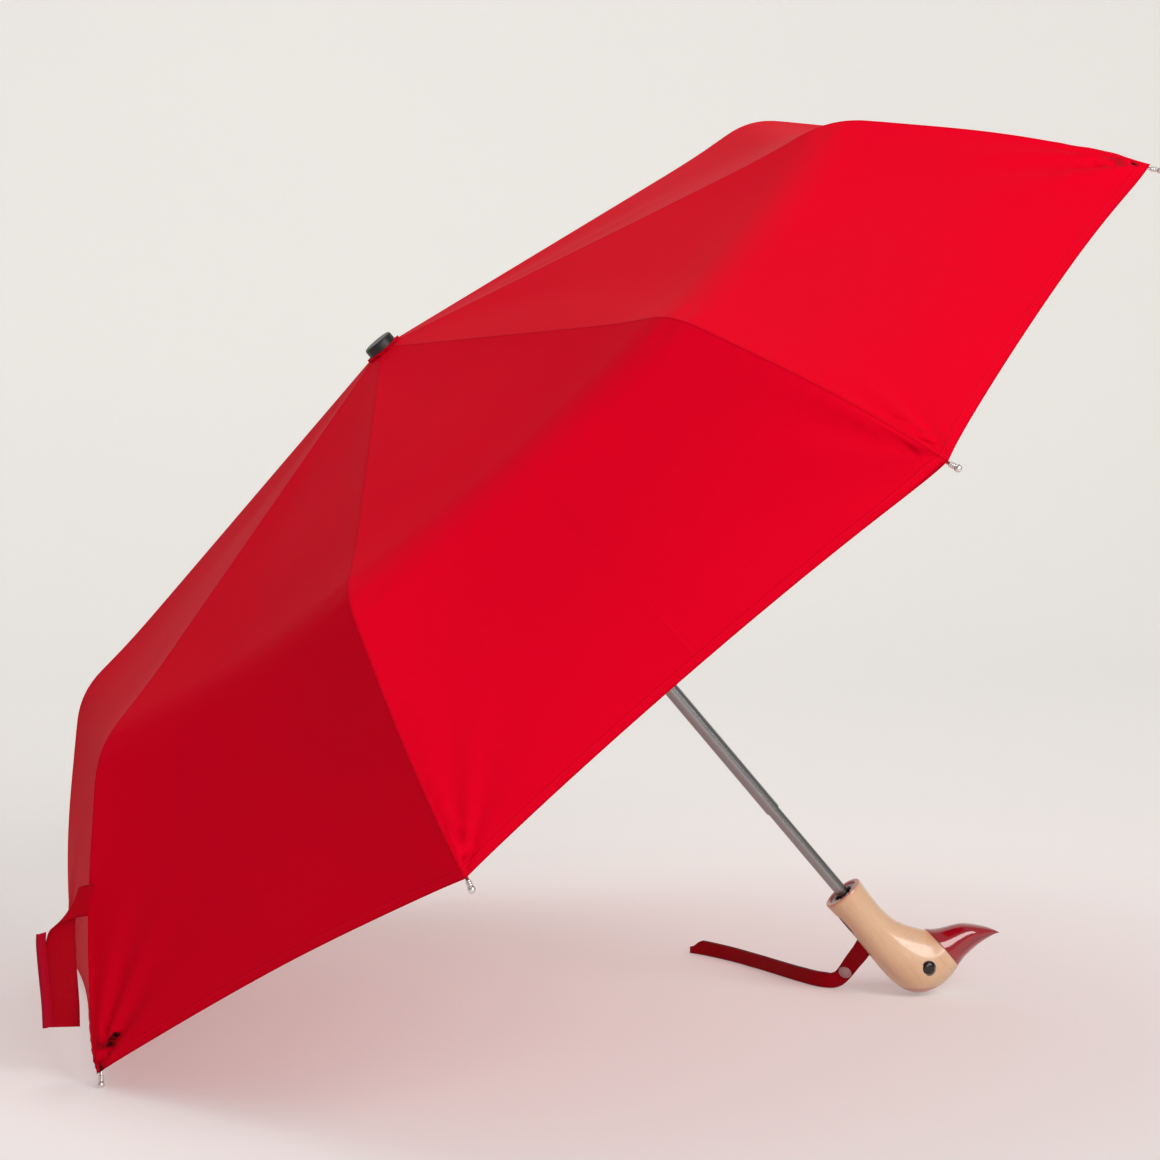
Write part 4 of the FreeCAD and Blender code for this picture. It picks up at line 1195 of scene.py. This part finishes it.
class UMBRELLA_OT_stage(Operator):
    """Makes the pale floor that curves up into a backdrop, the lamps, the world and the camera."""

    bl_idname = "umbrella.stage"
    bl_label = "Stage"

    def execute(self, context):
        scene = context.scene
        sizes = scene.umbrella_stage
        run = np.linspace(0, 1, 90)[:, None]
        flat, bend, rise = 5.2, 1.4, 4.0
        quarter = bend * np.pi / 2
        away = run * (flat + quarter + rise)
        angle = np.clip((away - flat) / bend, 0, np.pi / 2)
        depth = np.minimum(away, flat) + bend * np.sin(angle) - 3.6
        height = bend * (1 - np.cos(angle)) + np.maximum(away - flat - quarter, 0)
        side = np.linspace(-6, 6, 30)[None, :]
        points = np.stack(np.broadcast_arrays(side, depth, height), -1)
        paper = studio_paper(scene.umbrella_colours)
        put_mesh("studio_floor", points.reshape(-1, 3), grid_faces(90, 30), paper)
        area_lamp("key_lamp", (1.3, -2.3, 1.9), (1.6, 1.6), sizes.key_power, (1.0, 0.985, 0.97))
        area_lamp("front_lamp", (0.2, -3.4, 1.0), (1.3, 0.9), sizes.key_power * 0.40, (1.0, 0.99, 0.98))
        area_lamp("top_lamp", (-0.6, 0.9, 2.6), (2.2, 1.4), sizes.key_power * 0.36, (1.0, 1.0, 1.0))
        world = bpy.data.worlds.new("studio_world")
        world.use_nodes = True
        background = world.node_tree.nodes["Background"]
        background.inputs["Color"].default_value = (1.0, 0.99, 0.98, 1.0)
        background.inputs["Strength"].default_value = sizes.fill
        scene.world = world
        scene.view_settings.view_transform = "Standard"

        data = bpy.data.cameras.new("camera")
        data.lens = sizes.lens
        data.sensor_width = 36.0
        data.clip_start, data.clip_end = 0.05, 50.0
        camera = bpy.data.objects.new("camera", data)
        look = np.array(sizes.camera_look)
        look /= np.linalg.norm(look)
        up = np.array(sizes.camera_up) - np.dot(sizes.camera_up, look) * look
        up /= np.linalg.norm(up)
        right = np.cross(look, up)
        rows = np.eye(4)
        rows[:3, 0], rows[:3, 1], rows[:3, 2], rows[:3, 3] = right, up, -look, np.array(sizes.camera_place)
        camera.matrix_world = Matrix(rows.tolist())
        scene.collection.objects.link(camera)
        scene.camera = camera
        return {"FINISHED"}


class UMBRELLA_PT_panel(Panel):
    """Lists the umbrella's sizes, colours and pieces in the sidebar."""

    bl_idname = "UMBRELLA_PT_panel"
    bl_label = "Folding umbrella"
    bl_space_type = "VIEW_3D"
    bl_region_type = "UI"
    bl_category = "Umbrella"

    def draw(self, context):
        for name, group in SIZE_GROUPS.items():
            box = self.layout.box()
            box.label(text=group.__doc__)
            for size in group.__annotations__:
                box.prop(getattr(context.scene, name), size)
        for operator in OPERATORS:
            self.layout.operator(operator.bl_idname)


OPERATORS = (
    UMBRELLA_OT_stage,
    UMBRELLA_OT_wrist_strap,
    UMBRELLA_OT_tie_strap,
    UMBRELLA_OT_canopy,
    UMBRELLA_OT_outer_ribs,
    UMBRELLA_OT_rosette,
    UMBRELLA_OT_handle,
    UMBRELLA_OT_frame_finishes,
)


def register():
    for kind in (*SIZE_GROUPS.values(), *OPERATORS, UMBRELLA_PT_panel):
        bpy.utils.register_class(kind)
    for name, group in SIZE_GROUPS.items():
        setattr(bpy.types.Scene, name, PointerProperty(type=group))


def unregister():
    for name in SIZE_GROUPS:
        delattr(bpy.types.Scene, name)
    for kind in (UMBRELLA_PT_panel, *reversed(OPERATORS), *reversed(SIZE_GROUPS.values())):
        bpy.utils.unregister_class(kind)


def main():
    register()
    for operator in OPERATORS:
        group, name = operator.bl_idname.split(".")
        getattr(getattr(bpy.ops, group), name)()


if __name__ == "__main__":
    main()
